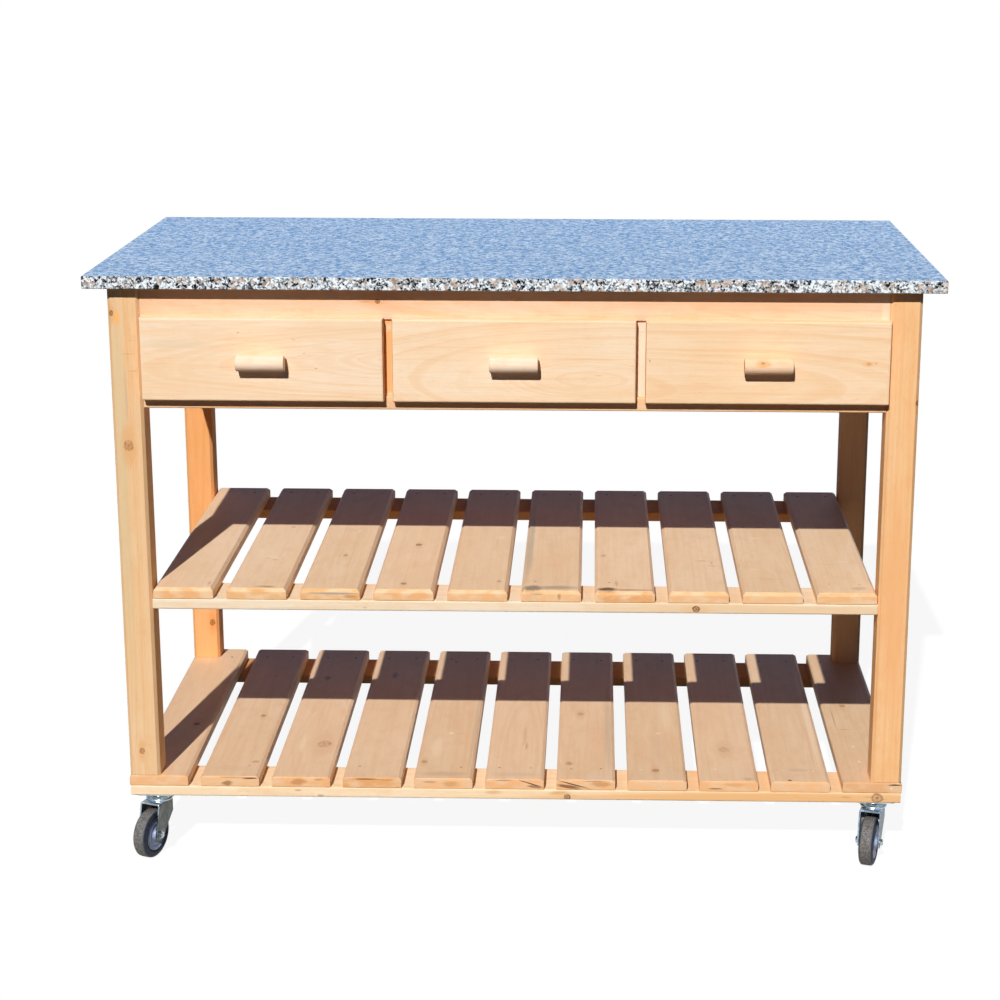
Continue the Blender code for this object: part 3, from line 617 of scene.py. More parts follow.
def make_boards():
    """Worktop, legs, rails and aprons."""
    board("worktop", "granite_top", granite(), STONE_CHAMFER, lambda *ends: True, 3, STONE_EASE)
    legs = {
        "front_left": dict(
            seed=3.1, tilt=0.012, depth=0.03, across=-0.02, figure=0.4,
            knots=((137.3, -1.3, 6.2, 0.35), (328.9, -17.5, 3, 0.75), (-328, -3, 3.6, 0.5)),
            marks=((270.7, 3, 0.5, 12, BROWN, 0.45), (246, 9.5, 0.6, 7, BROWN, 0.45),
                   (290, 8, 0.5, 6, BROWN, 0.25), (210, -1.5, 50, 2.2, GREY, 0.45),
                   (50, -12, 330, 10, (0.72, 0.57, 0.33), 0.55),
                   (230, -10, 150, 10, (0.76, 0.6, 0.36), 0.55), (-30, 15, 280, 6, (0.93, 0.62, 0.36), 0.4),
                   (323, -10, 12, 5.2, (0.98, 0.5, 0.17), 1))),
        "front_right": dict(
            seed=7.7, tilt=0.006, depth=0.06, across=0.03, figure=0.4,
            knots=((206.7, 22.2, 3.6, 0.75),),
            marks=((244, 21.2, 2.2, 0.8, BROWN, 0.7), (185, 21.6, 16, 0.6, BROWN, 0.45),
                   (-100, 2, 200, 24, (0.92, 0.46, 0.19), 0.7))),
        "rear_left": dict(
            seed=12.4, tilt=0.01, depth=0.05, figure=0.6,
            knots=((-302.7, 12, 4.2, 0.7),),
            marks=((-240, -6, 50, 3, (0.8, 0.34, 0.1), 0.6), (150, 6, 80, 2.5, (0.8, 0.34, 0.1), 0.5),
                   (-300, 0, 140, 30, (0.96, 0.5, 0.22), 0.5))),
        "rear_right": dict(seed=15.9, tilt=0.008, depth=0.07, figure=0.6),
    }
    for corner, facts in legs.items():
        material = wood(f"leg_{corner}", grain="z", front=LEG_FRONT, **facts)
        board(f"post_{corner}", f"leg_{corner}", material, LEG_CHAMFER, runs(2))
    board("rail_over_drawers", "front_top_rail", wood(
        "top_rail", seed=21.3, tilt=-0.075, depth=0.06, figure=0.42,
        knots=((-190.5, 3.7, 2.7, 0.8),),
        marks=((-205, 3, 13, 1.1, BROWN, 0.5), (519, 0, 7, 30, (0.98, 0.74, 0.52), 0.7),
               (360, 4, 220, 12, (0.95, 0.55, 0.32), 0.5))),
        FRAME_EDGE, runs(0))
    board("rail_under_drawers", "front_lower_rail", wood(
        "lower_rail", seed=24.9, tilt=0.02, figure=0.4),
        FRAME_EDGE, runs(0))
    inner = wood("apron", INSIDE, seed=27.2, depth=0.03)
    inner_y = wood("side_apron", INSIDE, "y", seed=29.8, depth=0.03)
    board("rear_apron", "back_apron", inner, FRAME_EDGE, runs(0))
    stiles = {
        "left": dict(
            seed=33,
            marks=((-48, 0, 10, 12, (0.95, 0.68, 0.44), 0.7), (53, 0, 6, 12, (0.92, 0.66, 0.42), 0.7))),
        "right": dict(seed=37, marks=((49, 0, 0.5, 12, BROWN, 0.5),)),
    }
    for side in ("left", "right"):
        board(f"apron_{side}", f"side_apron_{side}", inner_y)
        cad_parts[f"side_runner_{side}"].data.materials[0] = inner_y
        facts = stiles[side]
        low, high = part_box(f"divider_{side}")
        middle = (low + high) / 2 / MM
        marks = [(z + middle.z, x + middle.x, *rest) for z, x, *rest in facts["marks"]]
        stile = wood(f"stile_{side}", grain="z", seed=facts["seed"], tilt=0.05, depth=0.02, figure=0.5,
                     marks=marks)
        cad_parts[f"divider_{side}"].data.materials[0] = stile


BOTTOM_SLATS = {
    1: dict(knots=((-72.7, 18.5, 4.2, 0.8),)),
    2: dict(
        knots=((-34.5, 12.8, 3.4, 0.6),),
        marks=((149.4, 7.4, 3, 2, BROWN, 0.7), (-223.5, 30, 6, 7, BROWN, 0.45),
               (-250, 0, 12, 30, (0.8, 0.52, 0.31), 0.5)),
        spots=((-4, -3, 9, 4.5, BROWN, 0.9), (30, 5, 14, 1.4, UMBER, 1),
               (4, 6, 22, 1.4, (0.62, 0.3, 0.12), 0.8))),
    3: dict(
        depth=0.02, across=0.014, tilt=0.22, figure=0.4,
        knots=((-150.6, 19.7, 10, 0.22),),
        marks=((140.4, -11.8, 12, 6, UMBER, 0.6), (-150, -14, 40, 6, PALE, 0.6)),
        spots=((-4, 0, 14, 6, (0.6, 0.27, 0.1), 0.85), (26, 4, 8, 2, BROWN, 0.5))),
    4: dict(
        ends=(0.8, 0.37, 0.13),
        marks=((154.7, -5.9, 16, 5, UMBER, 0.6),),
        spots=((-10, 5.5, 20, 1.1, UMBER, 0.8), (20, 4.5, 14, 1, BROWN, 0.6))),
    5: dict(
        knots=((-216.9, -32.7, 4, 0.35),),
        marks=((223.6, -12.8, 3, 3, UMBER, 0.8), (-101.7, 1, 6, 5, PALE, 0.95),
               (-101.7, 15, 1.6, 12, (0.8, 0.46, 0.24), 0.7), (-160, -18, 40, 10, PALE, 0.5),
               (-90, 36, 200, 3, GREY, 0.35), (-262, 0, 10, 40, (0.62, 0.42, 0.27), 0.55)),
        spots=((12, -1, 14, 5.5, (0.7, 0.34, 0.13), 0.8), (-20, 2, 12, 2, BROWN, 0.5))),
    6: dict(
        depth=0.014, across=0.004, tilt=0.13, figure=0.42,
        marks=((-105, 10, 50, 4, (0.72, 0.44, 0.24), 0.55), (-150, 14, 18, 2, BROWN, 0.45),
               (-262, 0, 10, 40, (0.72, 0.5, 0.33), 0.5)),
        spots=((24, 1, 19, 1.2, UMBER, 1, -0.3), (30, -4, 13, 2.6, (0.36, 0.16, 0.06), 0.9, -0.12),
               (-16, 5.8, 18, 1.2, BROWN, 0.7))),
    7: dict(
        knots=((-14.6, -9.5, 4.6, 0.25),),
        marks=((-218.4, -25.4, 8, 6, BROWN, 0.55), (-80, 34, 180, 6, GREY, 0.4),
               (-268, 16, 6, 24, (0.74, 0.66, 0.55), 0.5)),
        spots=((-26, -3, 19, 3.6, (0.28, 0.12, 0.045), 0.95, -0.15), (-19, 0.5, 25, 1.2, UMBER, 1, -0.27),
               (22, 1, 18, 4.8, (0.62, 0.3, 0.12), 0.8), (12, 5.6, 20, 1, BROWN, 0.7))),
    8: dict(
        knots=((-241.4, -1.8, 4.6, 0.5),),
        marks=((-150, 6.6, 85, 17, (0.8, 0.54, 0.34), 0.5), (-93.4, 6.6, 4, 4.5, PALE, 0.9),
               (-262, 0, 10, 42, (0.8, 0.58, 0.4), 0.5), (-20, 20, 90, 12, PALE, 0.4))),
    9: dict(
        knots=((-158.1, -0.1, 8, 0.1),),
        marks=((-235, -18, 4, 3, PALE, 0.8), (-270, 30, 6, 10, GREY, 0.5)),
        spots=((-20, -4, 12, 1.2, UMBER, 0.8), (8, 2, 18, 3, (0.7, 0.36, 0.15), 0.6))),
    10: dict(
        marks=((-274, -15.4, 3, 3.6, UMBER, 0.9), (0, 34, 260, 5, PALE, 0.7),
               (-160, 26, 100, 1.5, (0.76, 0.48, 0.28), 0.5), (-235, 0, 6, 20, GREY, 0.35))),
    11: dict(
        ends=(0.8, 0.42, 0.19),
        knots=((33.1, -9.7, 4, 0.4),),
        marks=((-200, -10, 6, 3, PALE, 0.8), (-140, -12, 5, 3, PALE, 0.8), (-20, -30, 50, 1, BROWN, 0.6),
               (-70, -18, 1, 14, BROWN, 0.6)),
        spots=((34, 4.5, 12, 1.4, UMBER, 1), (28, -1, 2, 2, PALE, 0.9))),
}
MIDDLE_SLATS = {
    1: dict(marks=((-255, 34, 10, 3, BROWN, 0.35), (-225, 2, 1.8, 2, PALE, 0.9))),
    2: dict(
        ends=(0.88, 0.48, 0.2),
        marks=((-125, 1, 16, 12, PALE, 0.75), (-129, -6, 4, 4.5, (0.78, 0.48, 0.25), 0.7),
               (-137, 6, 2.5, 5, BROWN, 0.5), (-105, 16, 20, 3.5, PALE, 0.6),
               (40.2, 10.1, 3, 5, BROWN, 0.6), (-100, -16, 50, 14, PALE, 0.4),
               (-268, 10, 4, 16, BROWN, 0.5), (-271, 16, 2, 10, UMBER, 0.6)),
        spots=((2, 5, 12, 2, BROWN, 0.5),)),
    3: dict(
        ends=(0.87, 0.44, 0.17),
        knots=((-111.3, 3.8, 2.8, 0.45),),
        marks=((23.2, 10.9, 7, 4, PALE, 0.7), (-190, 0, 30, 20, PALE, 0.3)),
        spots=((6, 2, 40, 2.2, (0.4, 0.37, 0.31), 0.85), (30, -3, 12, 3, (0.6, 0.28, 0.11), 0.7))),
    4: dict(
        knots=((-52, 4, 4.2, 0.75), (-249.7, -2.4, 3.8, 0.6)),
        marks=((-155, 6, 30, 4, (0.86, 0.48, 0.22), 0.35),)),
    5: dict(
        marks=((-9.8, 23.5, 10, 8, PALE, 0.7), (-234.5, 29.9, 6, 4, BROWN, 0.5),
               (-30, 18, 30, 1.2, (0.8, 0.48, 0.26), 0.5))),
    6: dict(
        marks=((-265.3, -27.3, 14, 16, (0.3, 0.23, 0.15), 0.9), (-50, -36, 220, 6, GREY, 0.6),
               (-262, 6, 10, 36, (0.38, 0.3, 0.19), 0.65)),
        spots=((12, 0, 3, 6, BROWN, 0.6), (-20, 4, 12, 2, (0.36, 0.26, 0.16), 0.6))),
    7: dict(
        ends=(0.84, 0.39, 0.14),
        knots=((-102.1, -30.5, 3, 0.3),),
        marks=((-268.1, -25.7, 9, 16, (0.16, 0.1, 0.06), 1), (-240, -12, 14, 3, BROWN, 0.35),
               (-271, 8, 5, 36, (0.38, 0.25, 0.14), 0.65))),
    8: dict(
        marks=((-125, 12, 2.2, 12, BROWN, 0.5), (-150, 26, 2, 12, BROWN, 0.5),
               (-136, 25.8, 10, 1.2, BROWN, 0.4))),
    9: dict(
        marks=((-2.2, -5.6, 4, 10, PALE, 0.9), (-165.6, -19.4, 3, 8, PALE, 0.9),
               (-212, 0, 1, 40, BROWN, 0.35), (-90, 12, 60, 10, PALE, 0.35))),
    10: dict(
        marks=((-124.1, 10.2, 4, 13, PALE, 0.9), (-137, -16, 0.9, 20, BROWN, 0.35),
               (-255, 20, 10, 14, (0.62, 0.42, 0.26), 0.5))),
}
SLATS = {"bottom": BOTTOM_SLATS, "middle": MIDDLE_SLATS}


def make_shelves():
    """Rails laid flat and the slats nailed on them."""
    rails = {
        "middle_rail_front": dict(
            seed=41,
            knots=((263.1, -0.9, 4.2, 0.85),),
            marks=((-216.3, -3, 4, 0.8, BROWN, 0.5), (360, -2, 300, 12, (0.86, 0.6, 0.36), 0.75))),
        "middle_rail_rear": dict(seed=43),
        "bottom_rail_front": dict(
            seed=47,
            knots=((535.7, 0, 6.6, 0.5), (78, -3, 3.6, 0.8)),
            marks=((420, -2, 400, 14, (0.88, 0.5, 0.22), 0.95), (100, -4, 120, 3, (0.9, 0.55, 0.28), 0.6),
                   (-321, 3, 6, 1.6, BROWN, 0.55), (-288, -5, 6, 2, BROWN, 0.6),
                   (-31, 3, 14, 3.5, (0.72, 0.45, 0.22), 0.7), (66, 3, 18, 4, (0.7, 0.4, 0.17), 0.75),
                   (78, -7.2, 12, 1, UMBER, 0.9), (524, 1.6, 9, 1, UMBER, 0.9), (546, -2, 5, 1, BROWN, 0.9),
                   (490, 1, 10, 1.6, (0.7, 0.36, 0.14), 0.8))),
        "bottom_rail_rear": dict(seed=49),
    }
    for node, facts in rails.items():
        tone = PALETTE[node.split("_rail")[0] + "_rail"]
        # Painted shade: the rear rails, which stand in shade beneath the slats, take a darker tone
        if node.endswith("rear"):
            tone = (0.76, 0.43, 0.21)
        material = wood(node, tone, depth=0.04, figure=0.36, **facts)
        board(f"{node}_board", node, material, RAIL_ROUNDING, runs(0), 3)
    for level, slats in SLATS.items():
        for index, marked in slats.items():
            node = f"{level}_slat_{index:02d}"
            turn = (index * 7 + (3 if level == "middle" else 0)) % 11 / 10
            base = PALETTE[f"{level}_slat"]
            tone = scaled(base, (0.965 + 0.05 * turn, 0.965 + 0.06 * turn, 0.95 + 0.1 * turn))
            facts = dict(seed=60 + index * 3.7 + (50 if level == "middle" else 0), depth=0.03 + 0.05 * turn,
                         across=0.05 * (turn - 0.5), tilt=0.16 * (0.45 - turn), figure=0.28,
                         spacing=0.0045 + 0.003 * turn, finish=0.14 if level == "middle" else 0.25, underside_shade=0.7,
                         warm=scaled(tone, (0.96, 0.9, 0.83)), dark=scaled(tone, (0.88, 0.77, 0.66)),
                         ends=(0.93 - 0.04 * turn, 0.53 - 0.08 * turn, 0.26 - 0.07 * turn))
            facts.update(marked)
            material = wood(node, tone, "y", **facts)
            chosen = top_edges(0.25 if level == "bottom" else 1)
            board(f"{level}_board_{index:02d}", node, material, SLAT_CHAMFER, chosen)


NAIL_ROWS = {"middle": (-0.2266, 0.256), "bottom": (-0.2288, 0.248)}
NAIL_FROM_MIDDLE = 0.0228
NAIL_SINK = 0.0006
NAIL_WANDER = (0.0011, 0.003)
NAIL_HEAD = mm((0, 0), (2.1, 0), (2.1, 0.55), (1.7, 0.72), (0, 0.85))


def make_nails():
    """Two nail heads at each end of every slat."""
    steel = nail_steel()
    for level, slats in SLATS.items():
        bm = bmesh.new()
        for index in slats:
            low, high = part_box(f"{level}_slat_{index:02d}")
            middle = (low.x + high.x) / 2
            for row, y in enumerate(NAIL_ROWS[level]):
                for side in (-1, 1):
                    if level == "bottom" and (index, side) in ((1, -1), (len(slats), 1)):
                        continue
                    jitter = ((index * 5 + row * 3 + side * 2) % 7 - 3) / 3
                    place = Matrix.Translation((middle + side * NAIL_FROM_MIDDLE + jitter * NAIL_WANDER[0],
                                                y + (jitter * 2 % 1.3 - 0.5) * NAIL_WANDER[1],
                                                high.z - NAIL_SINK))
                    lathe(bm, NAIL_HEAD, 14, place)
        add_piece(f"nails_{level}", bm, steel, "frame", sharp=35)


# The drawers

HARDBOARD = (0.36, 0.21, 0.115)
HANDLE_EASE = 0.0016
HANDLE_CLEARANCE = 0.00002
GLUE_GAP = 0.00015
BOX_EASE = 0.0007


def make_drawers():
    """Fronts, dowel handles, and boxes put together from boards."""
    facts = {
        "left": dict(
            seed=81, depth=0.04, across=-0.004, tilt=-0.13,
            marks=((-31.4, 39.2, 2.5, 0.8, BROWN, 0.6), (45.8, 29.7, 2.2, 0.7, BROWN, 0.6),
                   (76.7, -11.2, 2.5, 0.7, BROWN, 0.6), (60.1, 9.8, 3, 0.7, BROWN, 0.5),
                   (-120, 22, 50, 9, (0.84, 0.65, 0.42), 0.55), (40, 4, 14, 2.2, (0.86, 0.6, 0.38), 0.5))),
        "middle": dict(
            seed=87, depth=0.034, across=-0.027, tilt=-0.22,
            marks=((102, 4.4, 66, 1.6, (0.95, 0.54, 0.27), 0.6),
                   (-100, 20, 60, 1.3, (0.94, 0.58, 0.32), 0.45), (118, -19, 7, 1, (0.9, 0.5, 0.24), 0.7))),
        "right": dict(
            seed=93, depth=0.05, across=-0.03, tilt=0.08,
            marks=((-100, -34, 60, 6, (0.93, 0.58, 0.32), 0.45), (139, 0, 11, 5, (0.93, 0.55, 0.28), 0.8),
                   (140, 0.2, 4.2, 2.6, (0.74, 0.38, 0.16), 0.9), (150, 1, 1.2, 1, BROWN, 0.8),
                   (-165, 3, 1.6, 2.2, BROWN, 0.5), (20, 30, 120, 1.6, (0.92, 0.58, 0.33), 0.45))),
    }
    panel = wood("box_side", INSIDE, "y", seed=97)
    cross = wood("box_end", INSIDE, seed=99)
    sheet = wood("box_bottom", HARDBOARD, "y", seed=101, tilt=0.02, depth=0.09, spacing=0.012)
    for column, looks in facts.items():
        body = f"drawer_{column}"
        face = wood(f"face_{column}", **looks)
        board(f"face_{column}", f"{body}_front", face, FRONT_BEVEL, front_edges, 2, body=body)
        low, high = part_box(f"{body}_handle")
        radius = (high.y - low.y) / 2 - HANDLE_CLEARANCE
        half = (high.x - low.x) / 2
        core, end = radius - HANDLE_EASE, -half + HANDLE_EASE
        profile = [(0, -half), (core, -half)]
        for turn in (0.5, 1.05, pi / 2):
            profile.append((core + HANDLE_EASE * sin(turn), end - HANDLE_EASE * cos(turn)))
        profile += [(r, -z) for r, z in reversed(profile)]
        bm = bmesh.new()
        lathe(bm, profile, 64, Matrix.Rotation(pi / 2, 4, "Y"))
        tone, marks = PALETTE["handle"], ()
        if column == "right":
            tone = (0.97, 0.68, 0.46)
            marks = ((-8, 5, 13, 5, (0.9, 0.46, 0.2), 1), (-9, 6.2, 3.6, 1.8, (0.55, 0.26, 0.1), 1),
                     (18, 7, 10, 2, (0.92, 0.52, 0.26), 0.5))
        dowel = wood(f"knob_{column}", tone, seed=103 + half, marks=marks, tilt=0.05, depth=0.004,
                     spacing=0.0028, figure=0.4)
        add_piece(f"knob_{column}", bm, dowel, body, Matrix.Translation((low + high) / 2),
                  (f"{body}_handle",), 40)
        make_box(column, panel, cross, sheet)


def make_box(column, panel, cross, sheet):
    """Drawer box: two long sides, two cross boards between them and a bottom let in."""
    body = f"drawer_{column}"
    low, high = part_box(f"{body}_box")
    inner_low, inner_high = low.x + BOX_WALL, high.x - BOX_WALL
    parts = {
        "side_a": (panel, (low.x, low.y, low.z), (inner_low - GLUE_GAP, high.y, high.z)),
        "side_b": (panel, (inner_high + GLUE_GAP, low.y, low.z), (high.x, high.y, high.z)),
        "head": (cross, (inner_low, low.y, low.z), (inner_high, low.y + BOX_WALL, high.z)),
        "tail": (cross, (inner_low, high.y - BOX_WALL, low.z), (inner_high, high.y, high.z)),
        "floor": (sheet, (inner_low, low.y + BOX_WALL + GLUE_GAP, low.z + BOX_BOTTOM_RISE),
                  (inner_high, high.y - BOX_WALL - GLUE_GAP, low.z + BOX_BOTTOM_RISE + BOX_BOTTOM)),
    }
    for part, (material, lowest, highest) in parts.items():
        bm, centre = box_mesh(Vector(lowest), Vector(highest))
        soften(add_piece(f"box_{column}_{part}", bm, material, body, Matrix.Translation(centre),
                         (f"{body}_box",)), BOX_EASE)


# The castors

CASTOR_TURNS = {"front_left": -21.5, "front_right": -16.5, "rear_left": -86, "rear_right": 8}
PLATE_HALF = 0.03
PLATE_CORNER = 0.0075
PLATE_LOW = 0.0972
PLATE_HIGH = 0.0997
SCREW_PLACE = 0.0236
FORK_HALF = 0.0165
FORK_WALL = 0.0025
FORK_FOOT = 0.0095
FORK_BACK = -0.0265
FORK_SHOULDER = 0.019
CROWN_TOP = 0.0838
CROWN_LOW = 0.0808
DOME_TOP = 0.0896
CROWN_ROUNDING = 0.0036
INNER_ROUNDING = 0.0012
NUT_RADIUS = 0.0054
NUT_LOW = FORK_HALF + 0.0009
NUT_HIGH = FORK_HALF + 0.0036
TRAIL = 0.0275
AXLE_Z = 0.035889
AXLE = Matrix.Translation((0, -TRAIL, AXLE_Z))
SIDE = Matrix.Rotation(pi / 2, 4, "Y")
ALONG_X = Matrix(((0, 0, 1, 0), (1, 0, 0, 0), (0, 1, 0, 0), (0, 0, 0, 1)))

HALF_TYRE = mm((25, 7.4), (25.7, 9.2), (26.3, 10.1), (27, 10.5), (27.7, 10.5), (28.2, 10.9), (29, 11),
               (29.6, 10.6), (30.9, 10.5), (32.3, 10.1), (33.5, 9.4), (34.6, 8.4), (35.4, 7.4), (35.7, 6.2),
               (35.82, 3.5))
HALF_CORE = mm((4.4, 13.6), (9, 13.6), (9.5, 13.1), (9.7, 10.4), (10.2, 9.7), (12.8, 9.4), (15.6, 9.4),
               (16.2, 9.8), (17.1, 9.8), (17.7, 9.3), (22.2, 9.2), (22.9, 9.8), (23.8, 10.2), (24.6, 9.9),
               (25, 8.8))


def rounded_square(half, radius, steps=6):
    """Square outline about the origin with round corners."""
    points = []
    for corner, (sign_x, sign_y) in enumerate(((1, 1), (-1, 1), (-1, -1), (1, -1))):
        for step in range(steps + 1):
            angle = (corner + step / steps) * pi / 2
            points.append((sign_x * (half - radius) + radius * cos(angle),
                           sign_y * (half - radius) + radius * sin(angle)))
    return points


def extrude_z(bm, outline, low_z, high_z, matrix=Matrix.Identity(4)):
    """Outline of (x, y) points raised between two heights, or turned by a matrix."""
    rings = [[bm.verts.new(matrix @ Vector((x, y, z))) for x, y in outline] for z in (low_z, high_z)]
    bm.faces.new(rings[0][::-1])
    bm.faces.new(rings[1])
    count = len(outline)
    for index in range(count):
        after = (index + 1) % count
        bm.faces.new((rings[0][index], rings[0][after], rings[1][after], rings[1][index]))


def fork_outline():
    """Side view of the fork as (y, z) points."""
    points = [(FORK_FOOT, CROWN_TOP), (FORK_FOOT, CROWN_LOW - FORK_SHOULDER)]
    for step in range(13):
        turn = radians(-35 - 145 * step / 12)
        points.append((-TRAIL + FORK_FOOT * cos(turn), AXLE_Z + FORK_FOOT * sin(turn)))
    return points + [(FORK_BACK, CROWN_TOP)]


def rounded_crown(name, bm, crown, radius, segments):
    """Object from a bmesh, with its edges along Y at the crown rounded."""
    edges = [edge for edge in bm.edges if all(vert.co.z > crown - 1e-5 for vert in edge.verts)
             and abs(edge.verts[0].co.x - edge.verts[1].co.x) < 1e-5]
    bmesh.ops.bevel(bm, geom=edges, offset=radius, segments=segments, profile=0.5, affect="EDGES")
    return link(name, to_mesh(name, bm))


def fork_mesh():
    """Pressed fork: crown and legs from one bent sheet."""
    bm = bmesh.new()
    extrude_z(bm, fork_outline(), -FORK_HALF, FORK_HALF, ALONG_X)
    solid = rounded_crown("fork_outer", bm, CROWN_TOP, CROWN_ROUNDING, 6)
    bm = bmesh.new()
    bmesh.ops.create_cube(bm, size=1, matrix=Matrix.Translation((0, -0.01, CROWN_LOW - 0.05))
                          @ Matrix.Diagonal((2 * (FORK_HALF - FORK_WALL), 0.2, 0.1, 1)))
    cutter = rounded_crown("fork_inner", bm, CROWN_LOW, INNER_ROUNDING, 3)
    cut = solid.modifiers.new("cut", "BOOLEAN")
    cut.operation = "DIFFERENCE"
    cut.object = cutter
    add_bevel(solid, "ease", 0.0004, 2, 40)
    bpy.context.view_layer.update()
    made = bpy.data.meshes.new_from_object(solid.evaluated_get(bpy.context.evaluated_depsgraph_get()))
    for obj in (solid, cutter):
        bpy.data.objects.remove(obj, do_unlink=True)
    return made


def make_plate(corner, steel, place):
    """Top plate, and the upper race with the screw heads."""
    node = f"castor_{corner}"
    bm = bmesh.new()
    extrude_z(bm, rounded_square(PLATE_HALF, PLATE_CORNER), PLATE_LOW, PLATE_HIGH)
    soften(add_piece(f"{node}_top_plate", bm, steel, "frame", place, (f"{node}_plate",)))
    bm = bmesh.new()
    lathe(bm, mm((18.8, 97.4), (19, 96.7), (19.2, 96), (19.2, 95.3), (18.8, 94.5), (17.8, 93.6), (16.4, 92.6),
                 (15.7, 91.6), (15.5, 90.8), (15.4, 90.1), (14.6, 90), (11, 90.2), (10.8, 93.5), (0, 93.5)),
          56)
    screw = mm((0, 0), (3.6, 0), (3.7, -0.5), (3.1, -1.4), (1.6, -1.9), (1, -1.1), (0, -1.1), up=PLATE_LOW)
    for x in (-SCREW_PLACE, SCREW_PLACE):
        for y in (-SCREW_PLACE, SCREW_PLACE):
            lathe(bm, screw, 20, Matrix.Translation((x, y, 0)))
    add_piece(f"{node}_race", bm, steel, "frame", place, (), 40)


def make_fork(corner, steel, bright, pressed, place):
    """Fork, and the dome ring, axle, washer and nut that turn with it, with a strip across its back that
    stands in for the dark shade between crown and tyre.
    """
    node, body = f"castor_{corner}", f"fork_{corner}"
    bm = bmesh.new()
    bm.from_mesh(pressed)
    even_normals(add_piece(f"{node}_yoke", bm, steel, body, place, (f"{node}_fork",), 50))
    bm = bmesh.new()
    lathe(bm, mm((0, 3), (7, 3), (7, 0), (15, 0), (15.6, -0.4), (16.7, -1.3), (18.5, -2.4), (19.9, -3.6),
                 (20.4, -4.7), (20.5, -5.7), (20.2, -6.4), (19, -6.8), (0, -6.8), up=DOME_TOP), 56)
    axle = AXLE @ SIDE
    head = mm((0, -3.5), (3, -3.5), (4.6, -2.9), (5.4, -1.6), (5.5, 0.2), (4, 0.2), up=-FORK_HALF)
    lathe(bm, head + mm((4, -0.4), (0, -0.4), up=FORK_HALF), 28, axle)
    lathe(bm, mm((0, -0.2), (5.5, -0.2), (5.5, 0.7), (5.1, 0.9), (0, 0.9), up=FORK_HALF), 28, axle)
    hexagon = [(NUT_RADIUS * cos(pi / 3 * step), NUT_RADIUS * sin(pi / 3 * step)) for step in range(6)]
    extrude_z(bm, hexagon, NUT_LOW, NUT_HIGH, axle)
    lathe(bm, mm((0, 3), (3.2, 3), (3.2, 4.1), (2.7, 4.4), (0, 4.4), up=FORK_HALF), 20, axle)
    # A strip put across the fork's back, standing in for the dark shade between crown and tyre
    reach = FORK_HALF - FORK_WALL + 0.0004
    web_for_shade = mm((7.2, 56.2), (9.1, 56.2)) + mm((9.1, 0.6), (7.2, 0.6), up=CROWN_LOW)
    extrude_z(bm, web_for_shade, -reach, reach, ALONG_X)
    add_piece(f"{node}_axle_and_ring", bm, bright, body, place, (), 35)


def make_wheel(corner, rubber_tyre, plastic, place):
    """Tyre and core."""
    for part, half, steps, material, slot in (("tread", HALF_TYRE, 72, rubber_tyre, "tyre"),
                                              ("core", HALF_CORE, 64, plastic, "wheel_core")):
        profile = half + [(radius, -across) for radius, across in reversed(half)]
        bm = bmesh.new()
        lathe(bm, profile + profile[:1], steps, SIDE)
        add_piece(f"castor_{corner}_{part}", bm, material, f"wheel_{corner}", place,
                  (f"castor_{corner}_wheel",), 50)


def make_castors():
    """Plates with their races, forks, axles and two-part wheels."""
    steel, bright, pressed = zinc("zinc", 1), zinc("bright_zinc", 0), fork_mesh()
    rubber_tyre, plastic = rubber(), core_plastic()
    for corner, turn in CASTOR_TURNS.items():
        low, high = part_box(f"castor_{corner}_plate")
        place = Matrix.Translation(((low.x + high.x) / 2, (low.y + high.y) / 2, 0))
        make_plate(corner, steel, place)
        swung = place @ Matrix.Rotation(radians(turn), 4, "Z")
        make_fork(corner, steel, bright, pressed, swung)
        make_wheel(corner, rubber_tyre, plastic, swung @ AXLE)


# Floor, light and camera

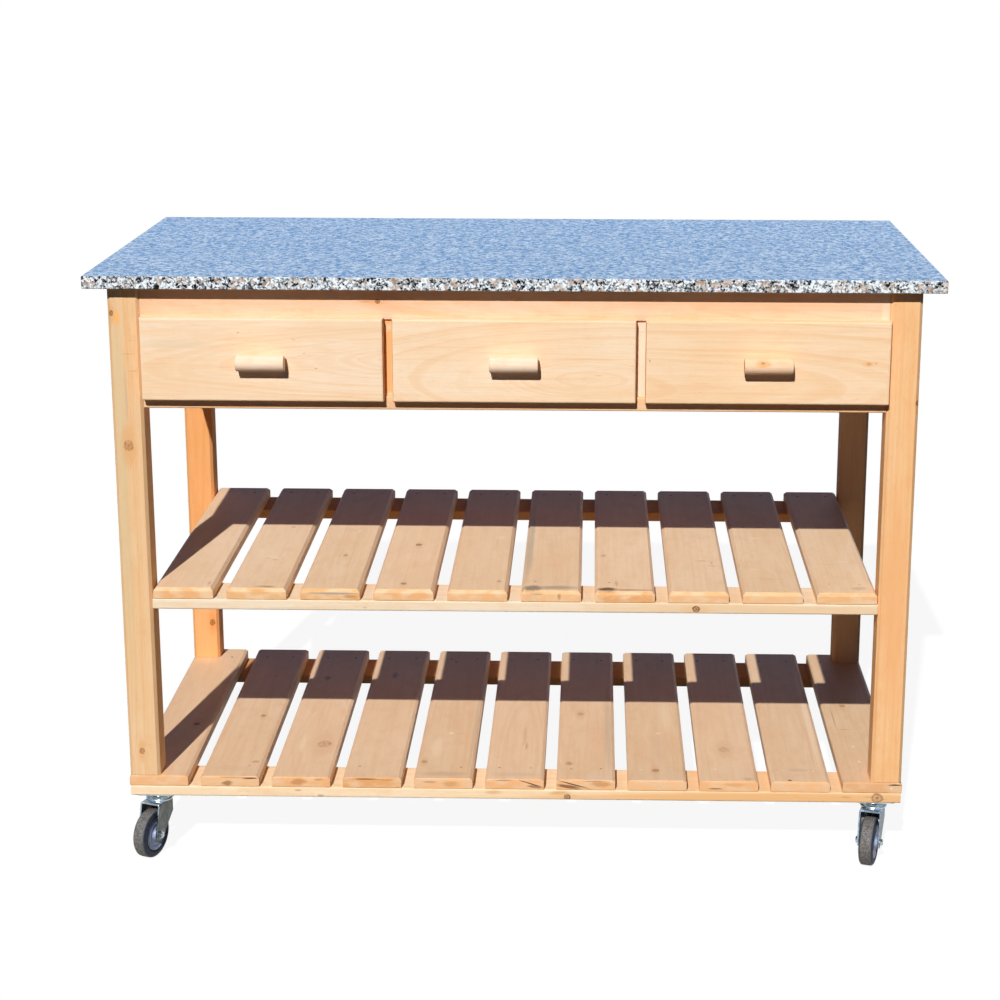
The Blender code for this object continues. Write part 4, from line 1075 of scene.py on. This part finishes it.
def make_stage():
    """White floor that keeps the unit's shadow, with a white surround for the camera."""
    bm = bmesh.new()
    bmesh.ops.create_grid(bm, x_segments=1, y_segments=1, size=30)
    mesh = to_mesh("floor", bm)
    floor = link("floor", mesh)
    made, g, shader = new_material("floor", Roughness=0.9, Specular_IOR_Level=0)
    shader.inputs["Base Color"].default_value = (0.1, 0.1, 0.1, 1)
    path = g.node("ShaderNodeLightPath")
    seen = g.math("MAXIMUM", path.outputs["Is Camera Ray"],
                  g.math("MAXIMUM", path.outputs["Is Glossy Ray"], path.outputs["Is Transmission Ray"]))
    shader.inputs["Emission Color"].default_value = (1, 1, 1, 1)
    g.feed(shader.inputs["Emission Strength"], g.times(seen, 0.925))
    mesh.materials.append(made)

    world = SCENE.world or bpy.data.worlds.new("world")
    SCENE.world = world
    world.use_nodes = True
    world.node_tree.nodes.clear()
    g = Graph(world.node_tree)
    path = g.node("ShaderNodeLightPath")
    seen = g.math("MAXIMUM", path.outputs["Is Camera Ray"], path.outputs["Is Transmission Ray"])
    soft = g.mix(path.outputs["Is Glossy Ray"], (0.011, 0.013, 0.034), (0.3, 0.52, 1))
    sky = g.node("ShaderNodeBackground")
    g.feed(sky.inputs["Color"], g.mix(seen, soft, (1, 1, 1)))
    out = g.node("ShaderNodeOutputWorld")
    g.feed(out.inputs["Surface"], sky.outputs[0])


def sun(name, towards, strength, spread):
    """Lamp whose light travels along a direction."""
    data = bpy.data.lights.new(name, "SUN")
    data.energy = strength
    data.angle = radians(spread)
    lamp = link(name, data)
    lamp.matrix_world = Vector(towards).to_track_quat("-Z", "Y").to_matrix().to_4x4()
    lamp.location = -3 * Vector(towards).normalized()
    return lamp


CAMERA_PLACE = (0.1105, -3.1782, 1.3663)
PICTURE = 1000
SENSOR = 36


def make_camera():
    """Camera from the fit of the worktop, the legs and the shelves in the photograph."""
    focal, centre_x, centre_y = 2113.26, 549.51, 454.42
    pitch, yaw, roll = 0.2488, -0.02054, 0.002233
    ahead = Vector((sin(yaw) * cos(pitch), cos(yaw) * cos(pitch), -sin(pitch)))
    right = Vector((cos(yaw), -sin(yaw), 0))
    up = right.cross(ahead)
    turned_right = right * cos(roll) + up * sin(roll)
    turned_up = up * cos(roll) - right * sin(roll)
    data = bpy.data.cameras.new("camera")
    data.sensor_fit = "HORIZONTAL"
    data.sensor_width = SENSOR
    data.lens = SENSOR * focal / PICTURE
    data.shift_x = 0.5 - centre_x / PICTURE
    data.shift_y = centre_y / PICTURE - 0.5
    data.clip_start = 0.05
    data.clip_end = 100
    camera = link("camera", data)
    rotation = Matrix((turned_right, turned_up, -ahead)).transposed()
    camera.matrix_world = Matrix.Translation(CAMERA_PLACE) @ rotation.to_4x4()
    SCENE.camera = camera


make_boards()
make_shelves()
make_nails()
make_drawers()
make_castors()
make_stage()
make_camera()
sun("key", (0.19, 1, -0.81), 3.9, 0.7)
sun("rear", (-0.2, -0.98, 0), 1.3, 20).visible_glossy = False
SCENE.view_settings.view_transform = "Standard"
